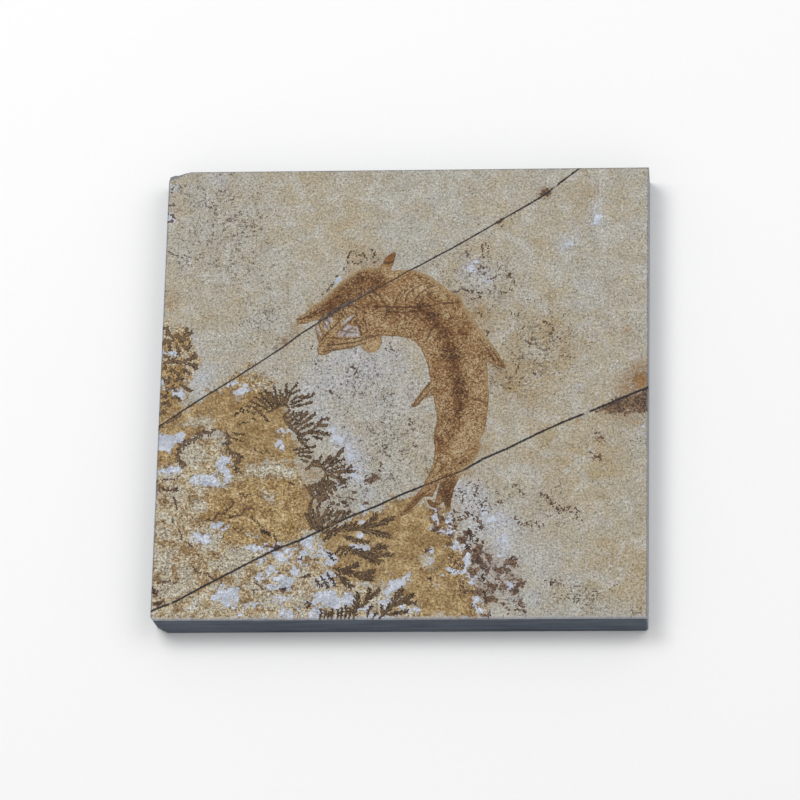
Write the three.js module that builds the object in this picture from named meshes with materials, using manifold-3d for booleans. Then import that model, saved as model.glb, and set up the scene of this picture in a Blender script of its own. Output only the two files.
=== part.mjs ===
// Fossil fish slab: a square sawn plate of fine limestone that carries one curled-up fossil fish in very
// low relief. Two natural joints of the rock run right across its face as hairline grooves, and three of
// its corners are chipped. The plate, the fish and the joints are one piece of stone, so they are one solid.
//
// Millimetres, +Z up. The plate lies on its back with the fish facing up. The origin is the centre of the
// underside. +X is to the fish's right and +Y is towards the edge that is at the top when it is displayed.

import * as THREE from "three";
import { mergeVertices } from "three/addons/utils/BufferGeometryUtils.js";
import Module from "manifold-3d";

const wasm = await Module();
wasm.setup();

// Driving dimensions
const SIDE = 200; // length of each sawn edge
const THICKNESS = 15; // underside to bedding plane
const FISH_RELIEF = 0.35; // how far the fish stands above the bedding plane
const FISH_ROOT = 0.5; // how far its solid reaches down into the stone, to join it
const JOINT_WIDTH = 0.5; // width of the open hairline at the mouth of a joint
const JOINT_DEPTH = 0.6; // depth of that hairline
const JOINT_OVERRUN = 4; // how far a joint's cutter runs past the plate's edges
const CHIP_BLOCK = 60; // side of the block that takes a chip off
const CURVE_STEPS = 90; // straight steps round the trunk's outline
const LOBE_STEPS = 24; // straight steps round each rounded small outline

const HALF = SIDE / 2;

// Chips: each is the plane through three points, with the stone beyond it gone.
const CHIPS = [
  // the back left corner, knocked off the face
  [[-HALF, 95.5, THICKNESS], [-90, HALF, THICKNESS], [-HALF, HALF, 10.4]],
  // the front left corner, rounded off towards the underside in three facets
  [[-98.9, -HALF, 14.4], [-97.6, -HALF, 4.8], [-HALF, -98.6, THICKNESS]],
  [[-97.6, -HALF, 4.8], [-96.1, -HALF, 2.2], [-HALF, -96.4, 4.8]],
  [[-96.1, -HALF, 2.2], [-94.3, -HALF, 0], [-HALF, -94.8, 2.2]],
  // a nick at the foot of the front right corner
  [[HALF, -HALF, 1.6], [98.6, -HALF, 0], [HALF, -98, 0]],
];

// Joints: the line of each on the face, from the left edge to the right.
const UPPER_JOINT = [
  [-100, -15.6], [-90, -8.2], [-80, -1.2], [-70, 5.4], [-60, 12.4], [-50, 19.6], [-43, 25.4], [-37.5, 29.2],
  [-30, 34.4], [-22, 39.6], [-10, 46.6], [-4, 50.2], [0, 53], [6, 56.2], [12, 59.8], [20, 64.4], [30, 70.6],
  [40, 77], [50, 83.2], [57, 87.8], [63, 93], [71.5, 100],
];
const LOWER_JOINT = [
  [-100, -96.2], [-90, -92], [-80, -86.2], [-70, -80.6], [-60, -75], [-50, -69.6], [-40, -65.6], [-30, -60.4],
  [-20, -55.4], [-10, -51.2], [0, -46.2], [8, -42.8], [16, -39.4], [24, -36.2], [33, -30.8], [44, -25.6],
  [55, -19.8], [66, -14.4], [76, -10.2], [84, -6.6], [92, -3], [100, 0.4],
];

// The fish: the trunk is one smooth outline, and the rest are small plates that overlap it.
const TRUNK = [
  [-36, 36.5], [-28, 45], [-20, 52.2], [-12, 55], [-4, 53.8], [4, 53.6], [10, 51], [16, 46.4], [22, 41.6],
  [26, 36], [29, 29], [33, 20], [34.4, 10], [35, 0], [34.7, -9], [33.6, -18], [31.8, -27], [27.5, -34.5],
  [22, -42], [15, -42], [9.4, -41], [11.4, -35], [13.3, -28], [13.4, -19], [13.8, -11], [12.4, -3],
  [10.8, 6], [8.6, 14.5], [4.6, 21.4], [-2, 24.1], [-9.4, 24.4], [-14.5, 29], [-20, 34.8], [-29, 34.6],
];
const PLATES = [
  [[-44.6, 31.2], [-40, 36.2], [-34, 42.2], [-27, 47], [-24, 40], [-33, 34.4], [-39.6, 31.6]], // upper jaw
  [[-35.6, 16.2], [-31, 16.4], [-27.6, 18], [-18, 19.8], [-9, 23], [-10.4, 25], [-19, 24.4], [-29, 23],
    [-33, 24.6], [-35.4, 20.6]], // lower jaw
  [[-18, 20.4], [-16.6, 17.8], [-13.6, 16.4], [-10.4, 17.6], [-9.4, 21], [-9.8, 25]], // throat flap
  [[30, 27], [33.6, 21], [37.4, 15.6], [41.6, 8.2], [38.6, 10.2], [33.8, 12.4], [30, 14]], // back fin
  [[-12, 53], [-9.2, 58], [-5.2, 62.2], [-4.3, 61.4], [-5.4, 57.2], [-6.8, 52]], // shoulder spine
  [[12.4, 5], [10.4, 5], [3, -6.4], [4.6, -7.6], [11.6, -1.6], [13.4, -3]], // belly fin
  [[9, -41], [5.4, -45.6], [0.2, -53], [1.4, -55], [6.4, -51], [11.6, -45], [16, -41]], // left tail lobe
  [[14, -40], [10.8, -49.6], [14.4, -52.2], [18.6, -54], [20, -51], [20.8, -46], [23, -41]], // right tail lobe
];

// A geometry as a manifold-3d solid.
function solid(geometry) {
  const bare = geometry.clone();
  bare.deleteAttribute("normal");
  bare.deleteAttribute("uv");
  const merged = mergeVertices(bare, 1e-4);
  return new wasm.Manifold(
    new wasm.Mesh({
      numProp: 3,
      vertProperties: new Float32Array(merged.attributes.position.array),
      triVerts: new Uint32Array(merged.index.array),
    }),
  );
}

// A manifold-3d solid as a three.js geometry.
function geometryOf(body) {
  const mesh = body.getMesh();
  const geometry = new THREE.BufferGeometry();
  geometry.setAttribute("position", new THREE.BufferAttribute(mesh.vertProperties, 3));
  geometry.setIndex(new THREE.BufferAttribute(mesh.triVerts, 1));
  geometry.computeVertexNormals();
  return geometry;
}

// A flat outline raised from one height to another.
function raised(points, low, high) {
  const shape = new THREE.Shape(points);
  const geometry = new THREE.ExtrudeGeometry(shape, { depth: high - low, bevelEnabled: false });
  return geometry.translate(0, 0, low);
}

// The outline through some points as one smooth closed curve.
function smoothOutline(points, steps) {
  const places = points.map(([x, y]) => new THREE.Vector3(x, y, 0));
  const curve = new THREE.CatmullRomCurve3(places, true, "centripetal");
  return curve.getPoints(steps).slice(0, -1).map((p) => new THREE.Vector2(p.x, p.y));
}

// Everything beyond the plane through three points, on the side away from the plate's middle.
function beyond([a, b, c]) {
  const [p, q, r] = [a, b, c].map((point) => new THREE.Vector3(...point));
  const normal = new THREE.Plane().setFromCoplanarPoints(p, q, r).normal;
  const middle = new THREE.Vector3(0, 0, THICKNESS / 2);
  if (normal.dot(middle.sub(p)) > 0) normal.negate();
  const block = new THREE.BoxGeometry(CHIP_BLOCK, CHIP_BLOCK, CHIP_BLOCK);
  block.applyQuaternion(new THREE.Quaternion().setFromUnitVectors(new THREE.Vector3(0, 0, 1), normal));
  const centre = p.addScaledVector(normal, CHIP_BLOCK / 2);
  return block.translate(centre.x, centre.y, centre.z);
}

// The thin upright blade that cuts a joint's hairline along its line.
function jointBlade(line) {
  const places = line.map(([x, y]) => new THREE.Vector2(x, y));
  const first = places[0].clone().sub(places[1]).setLength(JOINT_OVERRUN).add(places[0]);
  const last = places.at(-1).clone().sub(places.at(-2)).setLength(JOINT_OVERRUN).add(places.at(-1));
  const run = [first, ...places, last];
  const side = (sign) =>
    run.map((here, i) => {
      const along = run[Math.min(i + 1, run.length - 1)].clone().sub(run[Math.max(i - 1, 0)]).normalize();
      const across = new THREE.Vector2(-along.y, along.x).multiplyScalar((sign * JOINT_WIDTH) / 2);
      return here.clone().add(across);
    });
  const outline = [...side(-1), ...side(1).reverse()];
  return raised(outline, THICKNESS - JOINT_DEPTH, THICKNESS + FISH_RELIEF + 1);
}

// The fish as one solid: the trunk with each plate joined to it.
function fish() {
  const low = THICKNESS - FISH_ROOT;
  const high = THICKNESS + FISH_RELIEF;
  const trunk = solid(raised(smoothOutline(TRUNK, CURVE_STEPS), low, high));
  return PLATES.reduce((body, plate) => body.add(solid(raised(smoothOutline(plate, LOBE_STEPS), low, high))), trunk);
}

// The whole slab: plate and fish joined, less the chips and the joints.
function slab() {
  const plate = solid(new THREE.BoxGeometry(SIDE, SIDE, THICKNESS).translate(0, 0, THICKNESS / 2));
  const chipped = CHIPS.reduce((body, chip) => body.subtract(solid(beyond(chip))), plate);
  const withFish = chipped.add(fish());
  return [UPPER_JOINT, LOWER_JOINT].reduce((body, line) => body.subtract(solid(jointBlade(line))), withFish);
}

const limestone = new THREE.MeshStandardMaterial({ color: 0xb9b09c, roughness: 0.85, metalness: 0 });

const slabMesh = new THREE.Mesh(geometryOf(slab()), limestone);
slabMesh.name = "fossil_slab";

const fossil = new THREE.Group();
fossil.add(slabMesh);

export default fossil;
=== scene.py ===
import math
import random
from functools import partial

import bmesh
import bpy
import numpy as np
from mathutils import Matrix, Vector, noise


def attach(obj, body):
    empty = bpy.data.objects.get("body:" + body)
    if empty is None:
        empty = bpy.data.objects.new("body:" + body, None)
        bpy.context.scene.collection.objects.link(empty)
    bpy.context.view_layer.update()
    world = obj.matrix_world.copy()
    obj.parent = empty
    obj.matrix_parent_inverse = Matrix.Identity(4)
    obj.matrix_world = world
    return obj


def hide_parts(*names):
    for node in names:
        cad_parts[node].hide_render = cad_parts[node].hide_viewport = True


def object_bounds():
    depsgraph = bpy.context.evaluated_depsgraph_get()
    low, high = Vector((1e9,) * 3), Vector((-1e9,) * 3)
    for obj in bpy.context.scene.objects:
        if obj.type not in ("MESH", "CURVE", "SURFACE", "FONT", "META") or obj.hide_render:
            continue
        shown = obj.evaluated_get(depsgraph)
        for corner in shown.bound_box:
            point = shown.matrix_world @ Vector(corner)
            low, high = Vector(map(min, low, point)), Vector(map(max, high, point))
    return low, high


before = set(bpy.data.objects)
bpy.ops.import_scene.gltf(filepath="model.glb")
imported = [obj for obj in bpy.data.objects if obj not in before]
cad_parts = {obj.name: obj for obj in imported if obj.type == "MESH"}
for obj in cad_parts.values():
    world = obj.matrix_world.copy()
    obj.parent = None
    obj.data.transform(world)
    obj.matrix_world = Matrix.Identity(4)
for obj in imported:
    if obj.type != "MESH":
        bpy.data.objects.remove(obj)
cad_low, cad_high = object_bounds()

# ---------------------------------------------------------------------------------------------------
# The stone. A plate of fine-grained lithographic limestone, split along its bedding so that the face
# is almost flat, and sawn square on its four edges. Two natural joints of the rock cross the face as
# hairlines, three corners are chipped, and iron and manganese have stained the face from the joints.

MM = 0.001
SLAB = "fossil_slab"
FISH_RELIEF = 0.35
SIDE = (cad_high.x - cad_low.x) / MM
HALF = SIDE / 2
THICKNESS = (cad_high.z - cad_low.z) / MM - FISH_RELIEF
CELL = 0.7  # size of the face's squares, before the joints are cut
ARRIS = 0.3  # how much the sawn edges are worn back
WALL_DEPTHS = (0.45, 1.4, 3.6, 6.6, 9.8, 12.6, 14.5)  # below the face, down the sawn edges
JOINT_HALF_WIDTH = 0.3
JOINT_DEPTH = 0.4
JOINT_STRIP = 2.5  # a joint may cut the squares whose middles are this near to it
CUT_REACH = 1.2  # and each straight run of it cuts those this near to the run
SWELL_HEIGHT = 0.05
SWELL_SIZE = 18

# Places are in millimetres on the face, from its middle: x to the right, y towards the far edge.
UPPER_JOINT = [
    (-104, -18.4), (-100, -15.6), (-90, -8.2), (-80, -1.2), (-70, 5.4), (-60, 12.4), (-50, 19.6),
    (-43, 25.4), (-37.5, 29.2), (-30, 34.4), (-22, 39.6), (-10, 46.6), (-4, 50.2), (0, 53), (6, 56.2),
    (12, 59.8), (20, 64.4), (30, 70.6), (40, 77), (50, 83.2), (57, 87.8), (63, 93), (71.5, 100), (75, 103),
]
LOWER_JOINT = [
    (-104, -97.9), (-100, -96.2), (-90, -92), (-80, -86.2), (-70, -80.6), (-60, -75), (-50, -69.6),
    (-40, -65.6), (-30, -60.4), (-20, -55.4), (-10, -51.2), (0, -46.2), (8, -42.8), (16, -39.4),
    (24, -36.2), (33, -30.8), (44, -25.6), (55, -19.8), (66, -14.4), (76, -10.2), (84, -6.6), (92, -3),
    (100, 0.4), (104, 2.1),
]
JOINTS = (UPPER_JOINT, LOWER_JOINT)


def distance_to_line(xy, line):
    """How far each point is from an open line, how far along it, and on which side."""
    best = np.full(len(xy), 1e9)
    along = np.zeros(len(xy))
    side = np.ones(len(xy))
    passed = 0.0
    for start, end in zip(line[:-1], line[1:]):
        start, step = np.array(start, float), np.subtract(end, start).astype(float)
        offset = xy - start
        share = np.clip(offset @ step / (step @ step), 0, 1)
        away = np.linalg.norm(offset - share[:, None] * step, axis=1)
        turn = step[0] * offset[:, 1] - step[1] * offset[:, 0]
        closer = away < best
        best[closer] = away[closer]
        along[closer] = passed + share[closer] * math.hypot(*step)
        side[closer] = np.where(turn[closer] < 0, -1, 1)
        passed += math.hypot(*step)
    return best, along, side


def depth_inside(xy, outline):
    """How far each point is inside a closed outline, and below zero outside it."""
    away = distance_to_line(xy, outline + outline[:1])[0]
    inside = np.zeros(len(xy), bool)
    for (ax, ay), (bx, by) in zip(outline, outline[1:] + outline[:1]):
        crosses = (ay > xy[:, 1]) != (by > xy[:, 1])
        with np.errstate(divide="ignore", invalid="ignore"):
            meets = xy[:, 0] < (bx - ax) * (xy[:, 1] - ay) / (by - ay) + ax
        inside ^= crosses & meets
    return np.where(inside, away, -away)


def depth_in_spots(xy, spots):
    """How far each point is inside the nearest of some oval spots (x, y, half length, half width, turn)."""
    best = np.full(len(xy), -12.0)
    for x, y, long, wide, turn in spots:
        c, s = math.cos(math.radians(turn)), math.sin(math.radians(turn))
        along = ((xy[:, 0] - x) * c + (xy[:, 1] - y) * s) / long
        across = ((xy[:, 1] - y) * c - (xy[:, 0] - x) * s) / wide
        best = np.maximum(best, (1 - np.hypot(along, across)) * min(long, wide))
    return best


def depth_in_strokes(xy, strokes):
    """How far each point is inside the nearest of some tapering strokes."""
    best = np.full(len(xy), -3.0)
    for start_width, end_width, points in strokes:
        ends = np.array(points, float)
        reach = max(start_width, end_width) + 3
        near = np.flatnonzero((xy > ends.min(0) - reach).all(1) & (xy < ends.max(0) + reach).all(1))
        if not len(near):
            continue
        away, along, _ = distance_to_line(xy[near], points)
        length = sum(math.dist(a, b) for a, b in zip(points[:-1], points[1:]))
        width = start_width + (end_width - start_width) * along / length
        best[near] = np.maximum(best[near], width - away)
    return best


def glow(xy, spots):
    """A soft-edged amount from 0 to 1 round some places (x, y, reach, strength)."""
    left = np.ones(len(xy))
    for x, y, reach, strength in spots:
        left *= 1 - strength * np.exp(-((xy[:, 0] - x) ** 2 + (xy[:, 1] - y) ** 2) / reach**2)
    return 1 - left


def rough(xy, size, seed):
    """Smooth random bumps of about that size in millimetres, one number from -1 to 1 for each point."""
    return np.array([noise.fractal(Vector((x / size, y / size, seed)), 1.0, 2.0, 3) for x, y in xy])


def face_height(xy):
    """The height of the face above its mean plane: the bedding's faint swell and the joints' grooves."""
    height = SWELL_HEIGHT * rough(xy, SWELL_SIZE, 3.1)
    for line in JOINTS:
        away = distance_to_line(xy, line)[0]
        near = away < JOINT_HALF_WIDTH
        gape = np.clip(0.75 + 1.2 * rough(xy[near], 3, 8.7), 0.2, 1)
        height[near] -= JOINT_DEPTH * gape * (1 - away[near] / JOINT_HALF_WIDTH)
    return height


def cut_along_joints(mesh):
    """Cuts lines into a face along each joint: its middle and both its shoulders."""
    for line in JOINTS:
        xy = np.array([f.calc_center_median()[:2] for f in mesh.faces]) / MM
        away = distance_to_line(xy, line)[0]
        strip = [f for f, d in zip(mesh.faces, away) if d < JOINT_STRIP]
        for start, end in zip(line[:-1], line[1:]):
            run = Vector((end[0] - start[0], end[1] - start[1], 0)) * MM
            across = Vector((-run.y, run.x, 0)).normalized()
            start = Vector((start[0] * MM, start[1] * MM, THICKNESS * MM))
            for offset in (-JOINT_HALF_WIDTH, 0, JOINT_HALF_WIDTH):
                near = []
                for f in strip:
                    gone = f.calc_center_median() - start
                    share = gone.dot(run) / run.length_squared
                    if -0.06 < share < 1.06 and abs(gone.dot(across)) < CUT_REACH * MM:
                        near.append(f)
                if not near:
                    continue
                parts = set(near)
                parts.update(e for f in near for e in f.edges)
                parts.update(v for f in near for v in f.verts)
                cut = bmesh.ops.bisect_plane(
                    mesh, geom=list(parts), dist=0.02 * MM, plane_co=start + across * offset * MM,
                    plane_no=across,
                )
                strip = [f for f in strip if f.is_valid]
                known = set(strip)
                strip += [g for g in cut["geom"] if isinstance(g, bmesh.types.BMFace) and g not in known]


def flat_places(mesh):
    """The x and y of each vertex in millimetres, as rows."""
    return np.array([v.co[:2] for v in mesh.verts]) / MM


def finished(name, mesh, fields, material):
    """Turns a bmesh into an object at the origin, with its named fields and its material."""
    data = bpy.data.meshes.new(name)
    mesh.to_mesh(data)
    mesh.free()
    data.polygons.foreach_set("use_smooth", [True] * len(data.polygons))
    for field, values in fields.items():
        data.attributes.new(field, "FLOAT", "POINT").data.foreach_set(
            "value", np.asarray(values, np.float32)
        )
    data.materials.append(material)
    piece = bpy.data.objects.new(name, data)
    bpy.context.scene.collection.objects.link(piece)
    return piece


# Ochre stains spread from the joints, as far as these fronts.
OCHRE_ZONES = [
    [
        (-104, -19), (-90, -8.5), (-80, -1.5), (-72, 4.2), (-66, 6), (-60, 3), (-54, -1), (-48, -5),
        (-45, -12), (-46, -20), (-43, -27), (-43, -32), (-54, -31.5), (-60, -33), (-68, -36), (-71, -30),
        (-72, -22), (-75, -17), (-82, -19), (-88, -23), (-93, -31), (-104, -36),
    ],
    [
        (-44, -38), (-38, -42), (-36, -50), (-35, -61), (-46, -66.5), (-56, -68), (-66, -68), (-72, -66),
        (-71, -58), (-80, -57), (-84, -52), (-78, -44), (-70, -41), (-60, -39), (-52, -38.5),
    ],
    [
        (-34, -64), (-26, -59.5), (-16, -54.5), (-4, -49), (6, -44.5), (10, -48), (13, -55), (20, -58),
        (22, -66), (24, -76), (28, -86), (32, -96), (33, -104), (4, -104), (7, -92), (-3, -88), (-8, -84),
        (-16, -86), (-25, -87), (-27, -80), (-33, -75), (-30, -68),
    ],
    [(-104, 14), (-94, 13), (-90, 10), (-91, 4), (-90, -2), (-90, -8), (-104, -17)],
    [(-96, 27), (-89, 27), (-90, 20), (-97, 19)],
]
# Where stain and bare stone are finely mixed.
MOTTLED_ZONES = [
    [
        (-104, -30), (-90, -26), (-84, -22), (-76, -20), (-66, -32), (-44, -31), (-40, -40), (-35, -62),
        (-31, -70), (-28, -78), (-36, -88), (-36, -104), (-104, -104),
    ],
    [(12, -52), (20, -54), (23, -60), (26, -68), (29, -80), (33, -90), (36, -104), (28, -104), (20, -70)],
    [(-72, 6), (-62, 14), (-57, 8), (-52, 3), (-56, -4), (-66, 0)],
    [(-104, 30), (-92, 29), (-86, 20), (-84, 12), (-90, 4), (-96, -8), (-104, -14)],
    [(-36, -86), (-26, -84), (-8, -86), (10, -93), (12, -104), (-38, -104)],
]
# Spots of thick dark oxide: a wedge that ran along the lower joint, and a few blots.
INK_ZONES = [
    [
        (76.4, -9.8), (80, -8.2), (86, -5), (93, -2.2), (101, 0.4), (101, -10.6), (94, -10.6), (88, -10.8),
        (83, -10.6),
    ],
    [(-15, -40), (-12.4, -37.4), (-9.4, -36), (-8.6, -38.4), (-10.6, -41), (-13.6, -41.6)],
]
INK_SPOTS = [
    (57.4, 88.4, 1.6, 1.1, 30), (43, 51, 1.2, 0.9, 20), (-31.6, -41, 1, 0.8, 0), (30, -80, 1.6, 1.2, 0),
    (-54, -62.2, 1.8, 1.2, -40), (-53, -68, 1.3, 1, 0), (-50, -68.6, 1.2, 0.9, 0), (-99.4, -87, 1, 1.7, 0),
    (-98, -92.8, 1.7, 0.7, 10), (-95, -83.8, 2.6, 0.6, 0), (-46.6, -87, 1, 0.8, 0), (-24, -40.6, 1.2, 1, 0),
    (-21.6, -39, 0.9, 0.8, 0), (-14.6, -50, 0.8, 0.8, 0), (39, 76.2, 0.7, 0.5, 30), (61, 26, 0.9, 0.7, 0),
    (20, 43.2, 0.5, 0.5, 0), (-95, -43.4, 3.2, 0.8, 5),
    # the cluster to the right of the tail
    (25, -66, 1.9, 1.5, 0), (31.8, -70.6, 2.2, 1.8, 0), (31.2, -74.8, 2, 1.9, 0), (29.6, -80, 1.5, 1.4, 0),
    (33.8, -77.6, 1.2, 1, 0), (38.4, -78.4, 1.4, 1.1, 0), (42, -78, 1.6, 1.1, 0), (45.6, -75, 1.8, 1.2, 30),
    (46.8, -77.4, 1, 0.8, 0), (38, -87, 1.6, 1.4, 0), (42.4, -87.6, 1, 1.4, 0), (33.2, -88.8, 1.5, 1.2, 0),
    (36.2, -92, 1.8, 1.4, 0), (46.6, -88.4, 1.2, 0.9, 40), (49, -86, 1, 0.7, 0), (48.8, -94.4, 1.1, 0.8, 0),
    (50.4, -97, 1, 0.7, -40), (35.4, -98.6, 1.2, 0.6, 0), (40, -81.6, 1.3, 0.7, 0),
    (17.4, -57, 1.2, 1.8, 0), (16, -61, 1.6, 0.8, 20), (22, -60.6, 1, 1, 0), (21.6, -63.6, 1.2, 0.8, 0),
    (32.6, -83.6, 1.2, 0.8, 0),
]
CREAM_SPOTS = [
    (-85, -28, 5, 4.5, 20), (-74, -40, 4, 3, 0), (-66, 0, 4, 1.8, 60), (-61, 1, 2.5, 1.2, -40),
    (-84, -13, 5, 2, 10), (-79, -15, 1.5, 3, 0), (-54, -47, 3.5, 1.3, -40), (-56, -35, 3, 2.4, 0),
    (-50, -35, 5, 2.6, 5), (-66, -74, 9, 4, 25), (-77, -66, 5, 4, 30), (-70, -90, 5, 3.5, 15),
    (-60, -34, 3, 2, 0), (-82, -50, 3, 2.5, 0), (-92, -45, 3, 4, 0), (-95, -75, 4, 5, 0),
    (-90, -87, 6, 3, 20), (-86, -80, 3, 3, 0), (9, -50, 3, 1.6, 35), (12, -75, 2.6, 3.6, 0),
    (-33, -47, 1.4, 1.6, 0), (-60, -63, 2, 1, 0), (-96, -62, 3, 2.5, 0), (16, -85, 2, 1, 0),
    (17, -98, 3, 1.2, 0), (-52, -92, 4, 3, 0), (-40, -90, 3, 5, 0), (-58, -86, 4, 3, 0),
]
BLUE_SPOTS = [
    (-27, -20.4, 1.5, 3.2, 40), (-22, -28, 1.2, 3, 20), (-18.6, -37.6, 1.2, 2.6, 10),
    (-25, -41.6, 1, 1.4, 0), (-98, -22, 6, 3.6, 0), (-92, -20, 3, 2, -20), (-99, -36.4, 4, 1.6, 5),
    (-92.5, -34.5, 2.4, 1.3, 20), (-66, 0.5, 2.5, 2.2, 0), (-69.5, 3.8, 1.6, 1, 0), (-73, -33, 3.5, 3, -30),
    (-79, -39, 5, 3, 0), (-71, -37.5, 1.6, 3, 0), (-49, -18, 1.6, 1, 30), (-50.4, -23, 0.9, 2, 0),
    (-74, -59.4, 3.6, 1.8, 5), (-80.5, -65, 3, 2.6, 0), (-34.5, -47, 1.2, 1.6, 0), (-52, -71, 6, 1.8, 25),
    (-58, -68.8, 3, 1.4, 0), (-47, -73, 3.4, 2.6, 30), (-53, -79, 4, 2.4, 30), (-68, -90, 4.6, 3.2, -50),
    (-73, -89, 3, 2, 0), (-46, -84, 4.4, 2.6, 30), (-51, -86, 3, 1.6, 0), (-48, -91, 2.4, 1.4, 0),
    (-61.5, -95.5, 3, 1.4, 20), (-38, -68, 2.4, 4.6, -25), (-36.5, -72, 1.4, 2.2, 0),
    (-32.5, -72, 1.6, 2.6, 0), (-28.6, -73, 2.6, 1.6, -40), (-43, -77.5, 1.6, 3, 20),
    (-29.5, -83, 3.4, 3.4, 0), (-26.5, -80.5, 1.6, 1.4, 0), (-27, -92, 8, 3.8, 0), (-33, -97, 3, 3, 0),
    (-20, -90, 2.6, 2.6, 0), (-44, -97, 3, 1.6, 0), (0.4, -84.5, 4.4, 2.6, 20), (-4, -88, 2.2, 3, 0),
    (-12, -95, 5, 1, 10), (2.6, -95.6, 2.6, 0.9, -15), (-15, -64, 1.3, 2, 0), (-16.2, -69, 2.6, 1, 0),
    (-15.6, -56, 1.2, 2.2, 0), (14.2, -55, 0.9, 3.2, 8), (19.4, -55, 0.9, 4, 0), (18.2, -62, 2.2, 1.3, 0),
    (22, -67, 1.4, 2.8, 20), (27.6, -74, 1.2, 4.2, 0), (29, -82.6, 2.8, 1.2, -60),
    (31.2, -92, 1.2, 2.6, -25), (34, -96.5, 1.5, 1.6, 0), (22, -80.5, 1.8, 0.8, 0), (-8, -100, 5, 1, 0),
    (75, -10.4, 1.4, 0.3, 22), (-27.8, 49.5, 1.1, 1.4, 0), (-29.4, 45.6, 0.4, 2.4, -25),
    (-98.8, 93.6, 1.1, 2, 0), (-99, 79.4, 1, 1.6, 0), (66.4, 65, 1.6, 1.3, 0), (78.4, 77, 0.8, 2, 10),
    (36, -56, 3, 2, -20), (42.4, -68.6, 1.3, 2.6, 0), (44.6, -86, 1.8, 1.4, 0), (17.6, -62, 1.8, 1.2, 0),
    (98, -18, 1.2, 0.7, 0), (30, 58.4, 1.6, 1, 30), (27.6, 54, 1, 0.6, 0), (34, 49, 1.4, 0.8, 0),
    (-96, 17, 4, 1.6, 0), (-99, 3.5, 1.6, 1.4, 0), (13, -72, 1, 2, 0), (-92, -0.8, 2.6, 1.4, -20),
]
# Broad tints: cool and whitish, or warm.
COOL_GLOWS = [
    (72, 1, 3.4, 0.8), (90, 0, 3.4, 0.6), (67, -36, 1.6, 0.9), (82, -35, 2.4, 0.7), (78, 24, 11, 0.4),
    (55, -38, 2, 0.5), (99, 45, 3, 0.6), (60, -12, 7, 0.3), (86, -60, 6, 0.4), (70, -84, 6, 0.5),
    (92, -88, 5, 0.4), (75, 78, 26, 0.5), (-80, 80, 24, 0.3), (24, -42, 5, 0.7), (30, -50, 8, 0.6),
    (-80, 97, 6, 0.7), (-98, 92, 3, 0.8), (-83, 7, 9, 0.9), (-88, 20, 6, 0.6), (-88, 27, 8, 0.35),
    (-22, -26, 9, 0.7), (-18, -36, 7, 0.7), (-12, 5, 26, 0.45), (-20, 16, 14, 0.4), (0, -5, 22, 0.35),
    (40, -60, 10, 0.9), (28, -46, 9, 0.75), (30, -60, 7, 0.8), (42, -70, 4, 0.7), (40, -84, 12, 0.6),
    (48, -98, 8, 0.4), (26, 54, 11, 0.6), (33, 47, 10, 0.5), (-40, -2, 12, 0.6), (-30, 12, 12, 0.4),
    (-66, 22, 16, 0.3), (66, 64, 5, 0.6), (78, 78, 4, 0.5), (79, 92, 4, 0.4), (-33, -12, 7, 0.5),
    (-55, 88, 5, 0.3), (-28, 80, 8, 0.2), (96, -18, 3, 0.7), (-24, -22, 4.6, 0.9), (-28, -17, 3, 0.6),
    (-20, -31, 4.4, 0.9), (-17, -39, 4, 0.85), (-13, -46, 4, 0.75), (-26, -44, 4, 0.6), (36, -75, 8, 0.5),
    (70, -62, 7, 0.2), (-57, 85, 5, 0.3), (-45, 28, 9, 0.35), (50, -70, 12, 0.35), (-6, 20, 9, 0.45),
    (58, -60, 12, 0.4), (62, -78, 11, 0.5), (50, -46, 7, 0.35), (76, -92, 8, 0.35), (84, -50, 5, 0.35),
    (56, -92, 8, 0.4), (96, 70, 7, 0.35), (95, 90, 6, 0.3), (80, 40, 8, 0.3), (68, 30, 6, 0.3),
    (-58, 32, 9, 0.3),
]
WARM_GLOWS = [
    (45, 15, 24, 0.6), (60, 25, 14, 0.35), (-35, 85, 25, 0.3), (70, 75, 30, 0.12), (92, -70, 20, 0.45),
    (80, -35, 25, 0.35), (-50, 45, 20, 0.15), (90, -95, 14, 0.3), (-20, 60, 8, 0.35), (-97, 42, 5, 0.5),
    (-96, 32, 5, 0.5), (60, -25, 20, 0.25), (28, 34, 6, 0.5), (-97, 80, 4, 0.3), (35, 60, 10, 0.3),
    (90, 40, 14, 0.25), (94, -72, 13, 0.3), (80, -34, 9, 0.25), (84, 78, 5, 0.35), (57, 64, 5, 0.4),
    (54, 52, 6, 0.4), (62, 45, 6, 0.3), (75, 88, 5, 0.3), (86, 62, 3, 0.3), (70, -52, 6, 0.25),
]
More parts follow.
